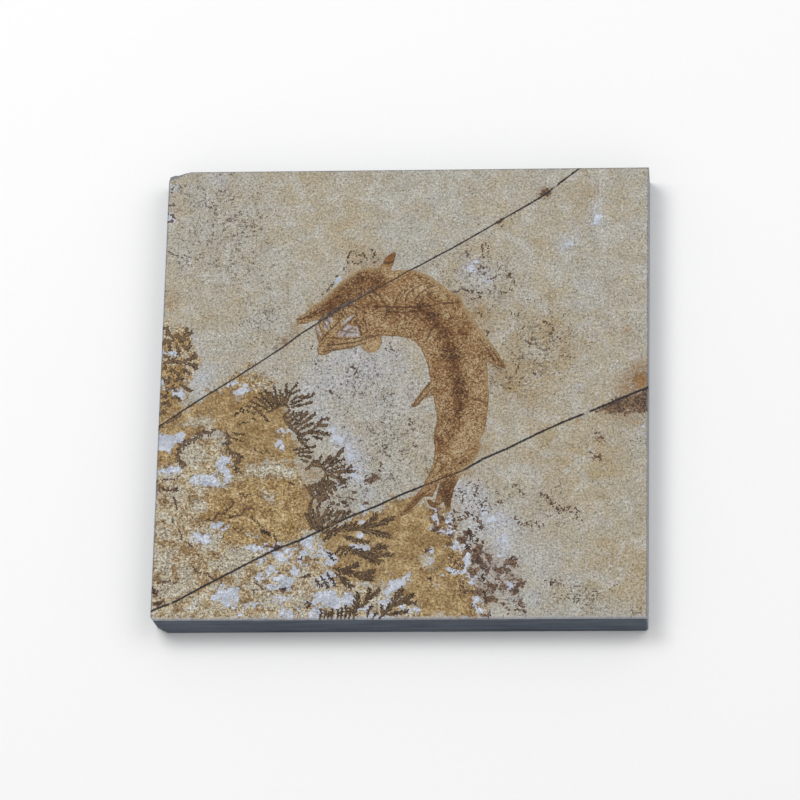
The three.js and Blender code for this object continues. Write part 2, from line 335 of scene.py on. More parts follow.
# Iron has bled out of the joints and round the fish, with no edge.
HALO_GLOWS = [
    (57, 89, 3.2, 0.9), (39, 76.2, 1.6, 0.7), (-50, 21, 2.6, 0.7), (-46.5, 24, 2.2, 0.6), (96, 4, 5.5, 1.0),
    (99, 3, 4, 0.6), (88, -1, 4, 0.4), (92, 2, 4, 0.5), (99, 8, 5, 0.5), (86, -11, 4, 0.6),
    (94, -12, 5, 0.6), (-30, -60, 2, 0.3), (-14, 57, 4.6, 0.8), (-20, 62, 4, 0.35), (-9, 58, 3, 0.7),
    (-33, 43.6, 2.6, 0.7), (-39, 38, 2.2, 0.6), (-43.6, 33.4, 1.6, 0.5), (-24, 52.6, 2.8, 0.6),
    (23, 41, 4.4, 0.6), (28, 33, 4.4, 0.6), (33, 25, 3.6, 0.5), (6, 54, 2.4, 0.5), (37, 8, 4, 0.4),
    (33, -27, 3.6, 0.6), (27, -36, 3, 0.5), (35, -18, 2.4, 0.3), (11, -12, 2.2, 0.3), (10, -36, 2, 0.3),
    (-45, 28, 3, 0.5), (41, 10, 4, 0.5),
    # under strings of rust, right of the fish
    (60, 25, 4.6, 0.45), (50, 12, 4, 0.4), (50, -4, 6, 0.4), (43, 0, 4, 0.4), (66, 18, 5, 0.4),
    (58, 8, 5, 0.3), (46, 20, 4, 0.25), (41, 5, 3.6, 0.5), (53, 28, 5, 0.3), (31, 36, 3.6, 0.5),
    (35.4, 30, 3, 0.35), (80, -22, 2.8, 0.5), (79, -29, 3.4, 0.35), (88, -23, 5, 0.25), (91, 26, 2, 0.5),
    (72, -14, 1.6, 0.6), (62, -32, 7, 0.2), (56, -52, 5, 0.2),
    # under the fronds, where the stone is brown
    (-56, -9, 6, 0.28), (-50, -5, 4, 0.28), (-46, -15, 3.4, 0.33), (-42, -20, 3, 0.28), (-41, -27, 3, 0.28),
    (-36, -32, 4, 0.28), (-37, -42, 3.4, 0.4), (-34, -45, 3.6, 0.6), (-36, -50, 3.6, 0.8),
    (-34.6, -55, 3.6, 0.75), (-30, -56, 4, 0.55), (-35, -37.2, 3.6, 0.85), (-49.6, -9.4, 2.6, 0.35),
    (-27, -48, 4, 0.25), (-24, -55, 4, 0.22), (-96, 20, 4, 0.28), (-96, 8, 6, 0.22), (-96, -4, 6, 0.22),
    (-22, -61, 3, 0.22), (-9, -60, 3, 0.22), (-10, -72, 3.4, 0.22), (-16, -80, 3.4, 0.22),
    (-17, -94, 3, 0.17), (32, -76, 6, 0.22), (42, -80, 5, 0.17), (36, -90, 6, 0.17), (22, -64, 4, 0.17),
]
# Redder iron, on the stone and by the tail.
RUSTY_GLOWS = [
    (16, -57, 3.6, 0.7), (12.4, -51, 2.6, 0.5), (20, -61, 3.6, 0.6), (18, -67, 3, 0.4), (25, -74, 4, 0.5),
    (3, -50, 3, 0.5), (90, -11, 4, 0.3), (57, 88.6, 2, 0.9), (31, -88, 5, 0.5), (-98, 42, 4, 0.5),
    (-97, -45, 4, 0.5), (-97.4, 82, 3, 0.5), (98, 5, 5, 0.8), (93, 1, 4, 0.6), (41, -79, 5, 0.4),
    (34, -91, 4, 0.4), (46, -84, 4, 0.35), (-49, 22, 2, 0.7), (-90, -68, 6, 0.25), (-82, -58, 5, 0.3),
    (-66, -52, 6, 0.25), (-40, -76, 6, 0.3), (32, -72, 4, 0.4), (-97, -31, 3, 0.4), (-62, -2, 4, 0.4),
    (-66, -6, 4, 0.3),
]
# Old scratches, healed white: each half a millimetre to either side, and narrower at its end.
SCRATCHES = [
    (0.5, 0.4, points)
    for points in (
        [(87.6, 58), (88, 51), (90.4, 44)], [(91, 51), (95, 45), (99, 39)], [(96, 53), (99.4, 48)],
        [(61.8, 38), (61.6, 34.4)], [(78.6, 80), (79.4, 70)], [(-75, 49.4), (-71, 53), (-66, 58)],
        [(-70, 46.6), (-65, 50)], [(84, -27), (91, -21.6), (98, -18)], [(40, 31), (40.4, 28)],
        [(96, -34), (98, -36.6)],
    )
]
# How thickly the face is peppered with specks of manganese.
PEPPER_GLOWS = [
    (32, 52, 16, 0.5), (56, 14, 16, 0.5), (35, -52, 12, 0.5), (-72, 76, 20, 0.5), (-10, -6, 22, 0.4),
    (-80, 85, 16, 0.75), (-72, 68, 16, 0.75), (-92, 92, 10, 0.6), (-65, 50, 16, 0.5), (-92, 58, 10, 0.7),
    (-60, 25, 18, 0.5), (30, 48, 14, 0.85), (22, 58, 8, 0.6), (-20, 60, 7, 0.7), (50, 15, 18, 0.8),
    (42, 5, 12, 0.7), (60, 25, 12, 0.6), (-20, 5, 20, 0.8), (0, -20, 20, 0.85), (-5, -35, 14, 0.8),
    (-25, -45, 12, 0.9), (30, -47, 12, 0.85), (60, -50, 14, 0.5), (75, -95, 26, 0.6), (80, 30, 15, 0.3),
    (-60, 5, 8, 0.6), (92, 42, 9, 0.5), (96, -20, 8, 0.4), (80, -20, 8, 0.5), (36, -78, 8, 0.9),
    (34, -91, 8, 0.9), (44, -82, 7, 0.8), (24, -62, 6, 0.9), (78, -90, 4, 0.9), (64, -86, 5, 0.9),
    (95, -97, 3, 0.9), (74, -92, 4, 0.7), (-58, 32, 12, 0.4), (47, -92, 6, 0.8), (62, -58, 5, 0.6),
    (50, -57, 5, 0.6),
]


def linear(colour):
    """An sRGB hex colour as linear red, green, blue and alpha."""
    parts = [int(colour[i : i + 2], 16) / 255 for i in (1, 3, 5)]
    return [p / 12.92 if p <= 0.04045 else ((p + 0.055) / 1.055) ** 2.4 for p in parts] + [1.0]


def add_node(tree, kind, *values, stops=(), **settings):
    """Adds a node with its settings, and its live inputs in order: each a socket, a value, a hex colour
    or None. It returns the node's first live output."""
    node = tree.nodes.new("ShaderNode" + kind)
    for name, setting in settings.items():
        setattr(node, name, setting)
    for place, (position, colour) in enumerate(stops):
        ramp = node.color_ramp.elements
        stop = ramp[place] if place < 2 else ramp.new(position)
        stop.position = position
        stop.color = linear(colour)
    for value, socket in zip(values, [s for s in node.inputs if s.enabled]):
        if isinstance(value, bpy.types.NodeSocket):
            tree.links.new(value, socket)
        elif value is not None:
            socket.default_value = linear(value) if isinstance(value, str) else value
    return next(s for s in node.outputs if s.enabled)


def new_material(name, fields, noises):
    """A material, its node maker, its shader, the fields it reads and its noises, each as three numbers."""
    material = bpy.data.materials.new(name)
    material.use_nodes = True
    tree = material.node_tree
    put = partial(add_node, tree)
    place = put("TexCoord").node.outputs["Object"]
    read = {field: put("Attribute", attribute_name=field).node.outputs["Fac"] for field in fields}
    made = {}
    for noise_name, (size, detail, roughness, distortion) in noises.items():
        pattern = put("TexNoise", place, 1 / (size * MM), detail, roughness, 2, distortion)
        made[noise_name] = put("SeparateColor", pattern.node.outputs["Color"]).node.outputs
    return material, put, tree.nodes["Principled BSDF"], read, made


def finish_material(tree, shader, colour, roughness, specular, bump):
    """Joins a colour and a bump to a shader and sets its gloss."""
    tree.links.new(colour, shader.inputs["Base Color"])
    tree.links.new(bump, shader.inputs["Normal"])
    shader.inputs["Roughness"].default_value = roughness
    shader.inputs["Specular IOR Level"].default_value = specular


# The fields that the stains follow. Each noise is (size in mm, octaves, roughness, distortion).
STONE_FIELDS = (
    "ochre", "mottled", "cream", "blue", "ink", "cool", "warm", "halo", "rusty", "pepper", "scratch",
    "joint", "seam", "side", "edge", "front", "lit_right_edge", "arris", "broken",
)
STONE_NOISES = {
    "clouds": (26, 3, 0.6, 0),
    "patches": (9, 6, 0.72, 0.4),
    "blotches": (5.5, 5, 0.65, 0),
    "fray": (5.5, 8, 0.74, 0.4),
    "lace": (2.8, 7, 0.74, 0.5),
    "jag": (3.4, 4, 0.62, 0.3),
    "grain": (1.15, 3, 0.85, 0),
    "fine": (0.75, 2, 0.8, 0),
}
OCHRE = [(0.34, "#6e5433"), (0.43, "#87693f"), (0.5, "#987d51"), (0.57, "#ab946b"), (0.68, "#c4b592")]
MOTTLE = [
    (0.34, "#775c3d"), (0.405, "#8e754f"), (0.455, "#785c3e"), (0.47, "#988360"), (0.5, "#ac9c7d"),
    (0.54, "#b5aa92"), (0.6, "#b9b6b0"), (0.69, "#c6c7c9"),
]
CREAM = [(0.36, "#8f846f"), (0.48, "#aba391"), (0.6, "#c1bdb0")]
BLUE = [(0.36, "#a4abb7"), (0.48, "#b7bdc9"), (0.6, "#c8ced9")]
INK = [(0.4, "#2f221d"), (0.5, "#523c2e"), (0.58, "#80664e")]
# The bedding's lines on the sawn edges. Real laminae are finer than this, and too fine to show.
BED_THICKNESS = 1.6
BED_RUN = 20  # how many times longer than thick each line is
# Each stain: its field, the noise that frays its front and by how many mm, how soft the front is in mm,
# its tones, the noise they follow and the grain's share in them, how much of the stone it covers, and
# how dark the tide line on its front is.
STAINS = [
    ("mottled", ("fray", 1), 22, 2.5, MOTTLE, ("fray", 2), 0.25, 0.95, 0.2),
    ("ochre", ("fray", 0), 24, 0.6, OCHRE, ("blotches", 1), 0.5, 0.95, 0.7),
    ("cream", ("lace", 0), 15, 0.5, CREAM, ("grain", 1), 0.5, 0.85, 0.5),
    ("blue", ("jag", 1), 14, 0.35, BLUE, ("blotches", 2), 0.3, 0.97, 0.4),
    ("ink", ("lace", 2), 12, 0.4, INK, ("blotches", 2), 0.6, 0.95, 0.0),
]
# The shares of three noises in the grain. The base takes off what they add at their middles.
MEAN_SHADE = 0.97
BLOTCH_SHARE, GRAIN_SHARE, FINE_SHARE = 0.45, 2.0, 2.2
GRAIN_BASE = MEAN_SHADE - (BLOTCH_SHARE + GRAIN_SHARE + FINE_SHARE) / 2


def split_limestone():
    """Lithographic limestone: lime mud so fine that a split face is smooth and matt. What the eye reads is
    its stains: grey-beige clouds, ochre fronts with dark tide lines, and bluish-white bare patches."""
    name = "split and sawn lithographic limestone"
    material, put, shader, field, noise_of = new_material(name, STONE_FIELDS, STONE_NOISES)
    clouds, patches, blotches, grain, fine = (
        noise_of[n] for n in ("clouds", "patches", "blotches", "grain", "fine")
    )

    # bare stone: warm beige to cool grey-white, in clouds
    warmth = put(
        "Math", clouds[0], 2.2, put("Math", field["warm"], 0.75, operation="SUBTRACT"),
        operation="MULTIPLY_ADD",
    )
    warmth = put(
        "Math", blotches[2], 0.9, put("Math", warmth, 0.45, operation="SUBTRACT"), operation="MULTIPLY_ADD",
        use_clamp=True,
    )
    face = put("Mix", warmth, "#a7a59d", "#a99d86", data_type="RGBA")
    coolness = put(
        "Math", field["cool"], 1.7, put("Math", blotches[0], 1.2, operation="SUBTRACT"),
        operation="MULTIPLY_ADD",
    )
    coolness = put("Math", coolness, 0, operation="ADD", use_clamp=True)
    face = put("Mix", coolness, face, "#b0b2b9", data_type="RGBA")

    tan = put("Math", field["warm"], 0.9, 0.4, operation="MULTIPLY_ADD")
    tan = put(
        "Math", put("MapRange", patches[0], 0.48, 0.62, 0, 0.6), tan, operation="MULTIPLY", use_clamp=True
    )
    face = put("Mix", tan, face, "#998660", data_type="RGBA")
    face = put("Mix", put("MapRange", patches[1], 0.49, 0.61, 0, 0.6), face, "#b6b5af", data_type="RGBA")
    # stains, one over the other, each with a frayed front and a tide line on it
    covered = {}
    for stain, (fray, channel), reach, soft, tones, (
        tone_noise, tone_channel
    ), share, cover, tide in STAINS:
        level = put("Math", noise_of[fray][channel], reach, field[stain], operation="MULTIPLY_ADD")
        front = reach / 2
        inside = put(
            "MapRange", level, front - soft / 2, front + soft / 2, 0, cover, interpolation_type="SMOOTHSTEP"
        )
        covered[stain] = inside
        tone = put("Mix", share, noise_of[tone_noise][tone_channel], grain[0])
        face = put("Mix", inside, face, put("ValToRGB", tone, stops=tones), data_type="RGBA")
        off_front = put("Math", level, front + 0.2, operation="SUBTRACT")
        line = put("MapRange", put("Math", off_front, operation="ABSOLUTE"), 0.45, 0.05, 0, tide)
        line = put("Math", line, put("MapRange", blotches[2], 0.42, 0.56), operation="MULTIPLY")
        face = put("Mix", line, face, "#553d26", data_type="RGBA")

    # lace: thin dark contours inside the stains
    ridge = put("Math", put("Math", noise_of["lace"][0], 0.5, operation="SUBTRACT"), operation="ABSOLUTE")
    lace = put("MapRange", ridge, 0.022, 0.006, 0, 0.75)
    stained = put("MapRange", put("Math", field["ochre"], field["mottled"], operation="MAXIMUM"), -1, 2)
    lace = put(
        "Math", lace, put("Math", stained, put("MapRange", blotches[0], 0.46, 0.6), operation="MULTIPLY"),
        operation="MULTIPLY",
    )
    face = put("Mix", lace, face, "#5c422a", data_type="RGBA")

    # iron that bled out with no edge
    bare = put(
        "Math", 1, put("Math", covered["blue"], covered["ink"], operation="MAXIMUM"), operation="SUBTRACT"
    )
    halo = put(
        "Math", field["halo"], put("MapRange", blotches[1], 0.38, 0.6, 0.25, 1.15), operation="MULTIPLY"
    )
    halo = put("Math", halo, bare, operation="MULTIPLY", use_clamp=True)
    face = put("Mix", halo, face, "#8d7148", data_type="RGBA")
    rusty = put(
        "Math", field["rusty"], put("MapRange", noise_of["lace"][2], 0.42, 0.56, 0.1, 1),
        operation="MULTIPLY",
    )
    face = put("Mix", put("Math", rusty, bare, operation="MULTIPLY"), face, "#7f5733", data_type="RGBA")

    # grain: light and dark from crystal to crystal
    shade = put("Math", blotches[1], BLOTCH_SHARE, GRAIN_BASE, operation="MULTIPLY_ADD")
    shade = put("Math", grain[0], GRAIN_SHARE, shade, operation="MULTIPLY_ADD")
    shade = put("Math", fine[0], FINE_SHARE, shade, operation="MULTIPLY_ADD")
    busy = put("Math", covered["mottled"], 0.5, 1, operation="MULTIPLY_ADD")
    busy = put("Math", covered["blue"], -0.7, busy, operation="MULTIPLY_ADD")
    busy = put("Math", covered["ochre"], -0.1, busy, operation="MULTIPLY_ADD")
    shade = put(
        "Math", put("Math", shade, MEAN_SHADE, operation="SUBTRACT"), busy, MEAN_SHADE,
        operation="MULTIPLY_ADD",
    )
    face = put(
        "Mix", 1.0, face, put("CombineColor", shade, shade, shade), data_type="RGBA", blend_type="MULTIPLY"
    )
    glint = put("MapRange", fine[2], 0.66, 0.7, 0, 0.55)
    face = put("Mix", glint, face, "#d3d1cc", data_type="RGBA")

    scratch = put(
        "MapRange", put("Math", grain[2], 2.4, field["scratch"], operation="MULTIPLY_ADD"), 1.5, 1.8, 0, 0.6
    )
    face = put("Mix", scratch, face, "#cdced3", data_type="RGBA")

    # pepper of manganese: thickest where the field says
    need = put("MapRange", field["pepper"], 0, 1, 0.66, 0.545)
    over = put(
        "Math",
        put(
            "Math", grain[1], put("Math", blotches[0], 0.25, -0.125, operation="MULTIPLY_ADD"),
            operation="ADD",
        ),
        need, operation="SUBTRACT",
    )
    speck = put("MapRange", over, 0, 0.02, 0, 0.9)
    speck = put("Math", speck, put("Math", 1, covered["blue"], operation="SUBTRACT"), operation="MULTIPLY")
    face = put(
        "Mix", speck, face, put("Mix", blotches[1], "#332b29", "#654a35", data_type="RGBA"),
        data_type="RGBA",
    )

    # worn edges of the face, their rim darkened with the same blue-grey painted shade as the sawn edges
    worn_rim_shade = put(
        "MapRange", put("Math", noise_of["lace"][1], 1.2, field["edge"], operation="MULTIPLY_ADD"), 1.0,
        1.35, 0, 0.8,
    )
    # painted shade: the blue-grey of the shaded sawn edges, carried over the worn rim
    rim_shade_tone = put("Mix", blotches[0], "#545a66", "#858a94", data_type="RGBA")
    face = put("Mix", worn_rim_shade, face, rim_shade_tone, data_type="RGBA")
    band = put(
        "MapRange", put("Math", noise_of["lace"][1], 2.2, field["front"], operation="MULTIPLY_ADD"), 1.6,
        1.95, 0, 0.8,
    )
    face = put(
        "Mix", band, face, put("Mix", grain[0], "#85868d", "#c6c6c9", data_type="RGBA"), data_type="RGBA"
    )

    # sawn edges, with bruised arrises and broken corners. Their dark slate blue-grey is painted shade, and
    # the right-hand edge is painted paler as painted light
    beds = put("Mapping", put("TexCoord").node.outputs["Object"], None, None, (1 / BED_RUN, 1 / BED_RUN, 1))
    beds = put("MapRange", put("TexNoise", beds, 1 / (BED_THICKNESS * MM), 3, 0.65), 0.36, 0.64)
    tone = put("Mix", 0.5, noise_of["fray"][2], beds)
    # painted shade: this dark slate tone stands in for the shadow on the sawn edges
    sawn = put("Mix", tone, "#343b46", "#656d78", data_type="RGBA")
    # painted light: the right-hand sawn edge is given a paler blue-grey, as if lit
    sawn = put(
        "Mix", field["lit_right_edge"], sawn, put("Mix", tone, "#777c88", "#a0a5ae", data_type="RGBA"),
        data_type="RGBA",
    )
    bruise = put(
        "MapRange", put("Math", blotches[0], 0.9, field["arris"], operation="MULTIPLY_ADD"), 0.95, 1.15, 0,
        0.85,
    )
    sawn = put("Mix", bruise, sawn, "#a9abb0", data_type="RGBA")
    side = put("MapRange", put("Math", grain[0], 0.4, field["side"], operation="MULTIPLY_ADD"), 0.62, 0.78)
    colour = put("Mix", side, face, sawn, data_type="RGBA")

    # the joints' dark lips on the face and down the sawn edges, but for where they have healed
    unhealed = put("Math", blotches[2], field["seam"], operation="ADD")
    seam = put("MapRange", put("Math", grain[1], 1.2, field["joint"], operation="MULTIPLY_ADD"), 0.9, 1.2)
    seam = put("Math", seam, put("MapRange", unhealed, 0.6, 0.9), operation="MULTIPLY")
    colour = put(
        "Mix", seam, colour, put("Mix", blotches[0], "#222631", "#3a302d", data_type="RGBA"),
        data_type="RGBA",
    )

    # fresh breaks at the corners
    fresh = put("MapRange", put("Math", grain[1], 0.4, field["broken"], operation="MULTIPLY_ADD"), 0.5, 0.7)
    colour = put(
        "Mix", fresh, colour, put("Mix", blotches[1], "#66676b", "#8b8d8f", data_type="RGBA"),
        data_type="RGBA",
    )

    height = put("Math", grain[0], 0.6, clouds[0], operation="MULTIPLY_ADD")
    bump = put("Bump", 0.5, 0.15 * MM, None, height)
    finish_material(material.node_tree, shader, colour, 0.8, 0.3, bump)
    return material


# Three points on the plane of each break at a corner.
CHIPS = [
    ((-HALF, 95.5, THICKNESS), (-90, HALF, THICKNESS), (-HALF, HALF, 10.4)),
    ((-98.9, -HALF, 14.4), (-97.6, -HALF, 4.8), (-HALF, -98.6, THICKNESS)),
    ((-97.6, -HALF, 4.8), (-96.1, -HALF, 2.2), (-HALF, -96.4, 4.8)),
    ((-96.1, -HALF, 2.2), (-94.3, -HALF, 0), (-HALF, -94.8, 2.2)),
    ((HALF, -HALF, 1.6), (98.6, -HALF, 0), (HALF, -98, 0)),
]


def stone_mesh():
    """The plate as one closed mesh, and the share of each vertex that a chip took."""
    mesh = bmesh.new()
    count = round(SIDE / CELL)
    face_plane = Matrix.Translation((0, 0, THICKNESS * MM))
    bmesh.ops.create_grid(
        mesh, x_segments=count, y_segments=count, size=(HALF - ARRIS) * MM, matrix=face_plane
    )
    cut_along_joints(mesh)
    xy = flat_places(mesh)
    for vertex, height in zip(mesh.verts, face_height(xy)):
        vertex.co.z += height * MM
    rim = [e for e in mesh.edges if e.is_boundary]
    for depth in WALL_DEPTHS + (THICKNESS,):
        grown = bmesh.ops.extrude_edge_only(mesh, edges=rim)["geom"]
        rim = [g for g in grown if isinstance(g, bmesh.types.BMEdge)]
        out = HALF - ARRIS if depth == THICKNESS else HALF
        for vertex in {v for e in rim for v in e.verts}:
            x, y = vertex.co.x / MM, vertex.co.y / MM
            reach = max(abs(x), abs(y))
            x, y = x * out / reach, y * out / reach
            vertex.co = Vector((x, y, THICKNESS - depth)) * MM
    bmesh.ops.edgeloop_fill(mesh, edges=rim)
    bmesh.ops.recalc_face_normals(mesh, faces=mesh.faces)
    broken = {}
    for chip in CHIPS:
        a, b, c = (Vector(p) * MM for p in chip)
        normal = (b - a).cross(c - a).normalized()
        if normal.dot(Vector((0, 0, THICKNESS / 2 * MM)) - a) > 0:
            normal.negate()
        for vertex in mesh.verts:
            over = (vertex.co - a).dot(normal)
            if over > 0:
                vertex.co -= normal * over
                broken[vertex] = broken.get(vertex, 0) + over / MM
    return mesh, broken


HEALED_GLOWS = [(61, 92, 2.5, 0.9), (75, -10.6, 2, 1), (-92, -92.6, 2, 0.8), (-68, -79.4, 3, 0.5)]
UPPER_LIP, LOWER_LIP = 0.6, 0.8  # how far the dark lips reach from the middle of each joint
stone_shape, chipped = stone_mesh()
stone_xy = flat_places(stone_shape)
stone_z = np.array([v.co.z for v in stone_shape.verts]) / MM
below = THICKNESS - stone_z
to_edge = HALF - np.abs(stone_xy).max(1)
joint_distance = np.min([distance_to_line(stone_xy, line)[0] for line in JOINTS], axis=0)
by_upper = stone_xy[:, 1] > stone_xy[:, 0] * 0.58 - 12  # beyond a line between the two joints
stone_fields = {
    "ochre": np.max([depth_inside(stone_xy, zone) for zone in OCHRE_ZONES], axis=0).clip(-12, 8),
    "mottled": np.max([depth_inside(stone_xy, zone) for zone in MOTTLED_ZONES], axis=0).clip(-12, 8),
    "cream": depth_in_spots(stone_xy, CREAM_SPOTS),
    "blue": depth_in_spots(stone_xy, BLUE_SPOTS),
    "ink": np.maximum(
        np.max([depth_inside(stone_xy, zone) for zone in INK_ZONES], axis=0),
        depth_in_spots(stone_xy, INK_SPOTS),
    ).clip(-12, 8),
    "cool": glow(stone_xy, COOL_GLOWS),
    "warm": glow(stone_xy, WARM_GLOWS),
    "halo": glow(stone_xy, HALO_GLOWS),
    "rusty": glow(stone_xy, RUSTY_GLOWS),
    "pepper": glow(stone_xy, PEPPER_GLOWS),
    "scratch": depth_in_strokes(stone_xy, SCRATCHES),
    "joint": (1 - joint_distance / np.where(by_upper, UPPER_LIP, LOWER_LIP)).clip(0, 1),
    "seam": 1 - glow(stone_xy, HEALED_GLOWS),
    "side": ((below - 0.1) / 0.5).clip(0, 1),
    "edge": np.where(below < 0.2, np.exp(-((to_edge / 0.7) ** 2)), 0),
    "front": np.where(below < 0.2, np.exp(-(((stone_xy[:, 1] + HALF) / 1.3) ** 2)), 0),
    # the right-hand sawn edge, which is painted paler as painted light
    "lit_right_edge": (stone_xy[:, 0] > HALF - 0.05).astype(float),
    "arris": np.exp(-((below - 0.4) / 0.5) ** 2),
    "broken": np.array([min(1.0, chipped.get(v, 0) * 1.6) for v in stone_shape.verts]),
}
stone = finished("limestone_slab", stone_shape, stone_fields, split_limestone())
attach(stone, "root")
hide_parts(SLAB)

# ---------------------------------------------------------------------------------------------------
# The fish. A small predatory fish, bent into a hook as it dried, pressed flat in the stone. Its skin and
# bones are a brown phosphate film up to 0.3 mm proud of the bedding, and the joints run through it.

FISH_CELL = 0.25
SKIRT = 0.6  # how far the film's edge runs on under the face of the stone
FOOT_DEPTH = 0.9  # how deep in the stone a film's underside lies

BACK = [
    (-45.2, 32.2), (-42.8, 34), (-40, 36.2), (-37.5, 38.3), (-35, 40.3), (-33, 42.3), (-31, 44),
    (-29.4, 46), (-26.5, 49.2), (-24, 51), (-22, 52.6), (-20.5, 54), (-18, 55), (-15, 55.2), (-12, 55),
    (-9.6, 57.2), (-8.6, 59.8), (-6.6, 61.6), (-5, 62.4), (-4.3, 61.4), (-4.8, 58.4), (-6, 55.6),
    (-6, 53.8), (-2, 54), (3, 54.2), (6, 53), (10, 51.4), (13, 49.2), (15.5, 47), (17.5, 44.8), (20, 43.4),
    (22.5, 41.8), (24.2, 38.6), (25.8, 35.2), (27.4, 31.8), (29.6, 29.5), (31.4, 26.5), (33.6, 23.5),
    (35.6, 20.8), (37.4, 18), (39.2, 15.2), (41, 11.8), (42.4, 8.8), (40, 9.6), (36.6, 11.2), (34.4, 12.4),
    (34.2, 9), (34.8, 4), (35, 0), (35, -5), (34.6, -10), (34.2, -15), (33.5, -18.5), (32.5, -20.5),
    (31.8, -23), (32.4, -25), (31, -29), (29, -32.5), (26, -35), (24.6, -37.6), (23, -40.4),
]
TAIL = [
    (21.8, -42.6), (21.4, -45), (20.8, -48), (20.4, -51), (19.8, -54.4), (18.4, -53.8), (18, -51.4),
    (17.4, -49.4), (16, -50.4), (14.4, -52), (12.8, -52), (11.2, -50.4), (10.6, -48.6), (11.6, -48),
    (12.8, -48.8), (13.8, -49.6), (14.2, -47.6), (14.7, -45.4), (15.4, -43.2), (16, -41), (15.2, -41),
    (14.4, -43.2), (13.7, -45.4), (12.8, -47.4), (11.2, -47), (9.8, -47), (8, -48.6), (5, -51.8),
    (2.4, -54.8), (0.4, -55.8), (-0.2, -54.6), (2, -51.8), (4.6, -48.6), (6.8, -45.6),
]
BELLY = [
    (9, -42), (10.8, -37.8), (11.8, -35), (12.8, -32), (13.3, -29), (13.2, -25), (12.8, -21), (13.3, -18),
    (14, -14), (13.5, -10), (12.8, -5), (12.2, -2.5), (10.2, -3.2), (7.6, -5), (5.2, -7.9), (3.4, -7.6),
    (3.5, -6.3), (7.6, -0.6), (11, 4.2), (10.5, 7), (9.8, 10), (8.8, 14), (7, 18.5), (4.5, 21.5), (2, 23),
    (-2, 24), (-6, 24.2), (-9.5, 24.3),
]
JAWS = [
    (-9, 21.5), (-10, 18.5), (-12, 17), (-14.5, 16.5), (-17, 18), (-18, 19.8), (-19, 19.8), (-22, 18.7),
    (-25, 18.2), (-28.5, 17.8), (-30, 17), (-31.5, 16.1), (-33.5, 15.8), (-35.6, 16.1), (-35.8, 19),
    (-35.2, 21), (-36, 24), (-36.8, 27), (-37, 29.5), (-35.8, 31.4), (-37.6, 31.2), (-40, 30.4), (-42, 30),
    (-44.4, 30),
]
OUTLINE = BACK + TAIL + BELLY + JAWS
CENTRELINE = [
    (-44, 31), (-28, 39), (-18, 43), (-8, 42), (4, 39), (10, 35), (15, 29), (19, 20), (21.5, 10), (23, -2),
    (22.8, -12), (21, -22), (19, -32), (16, -42), (12, -54),
]
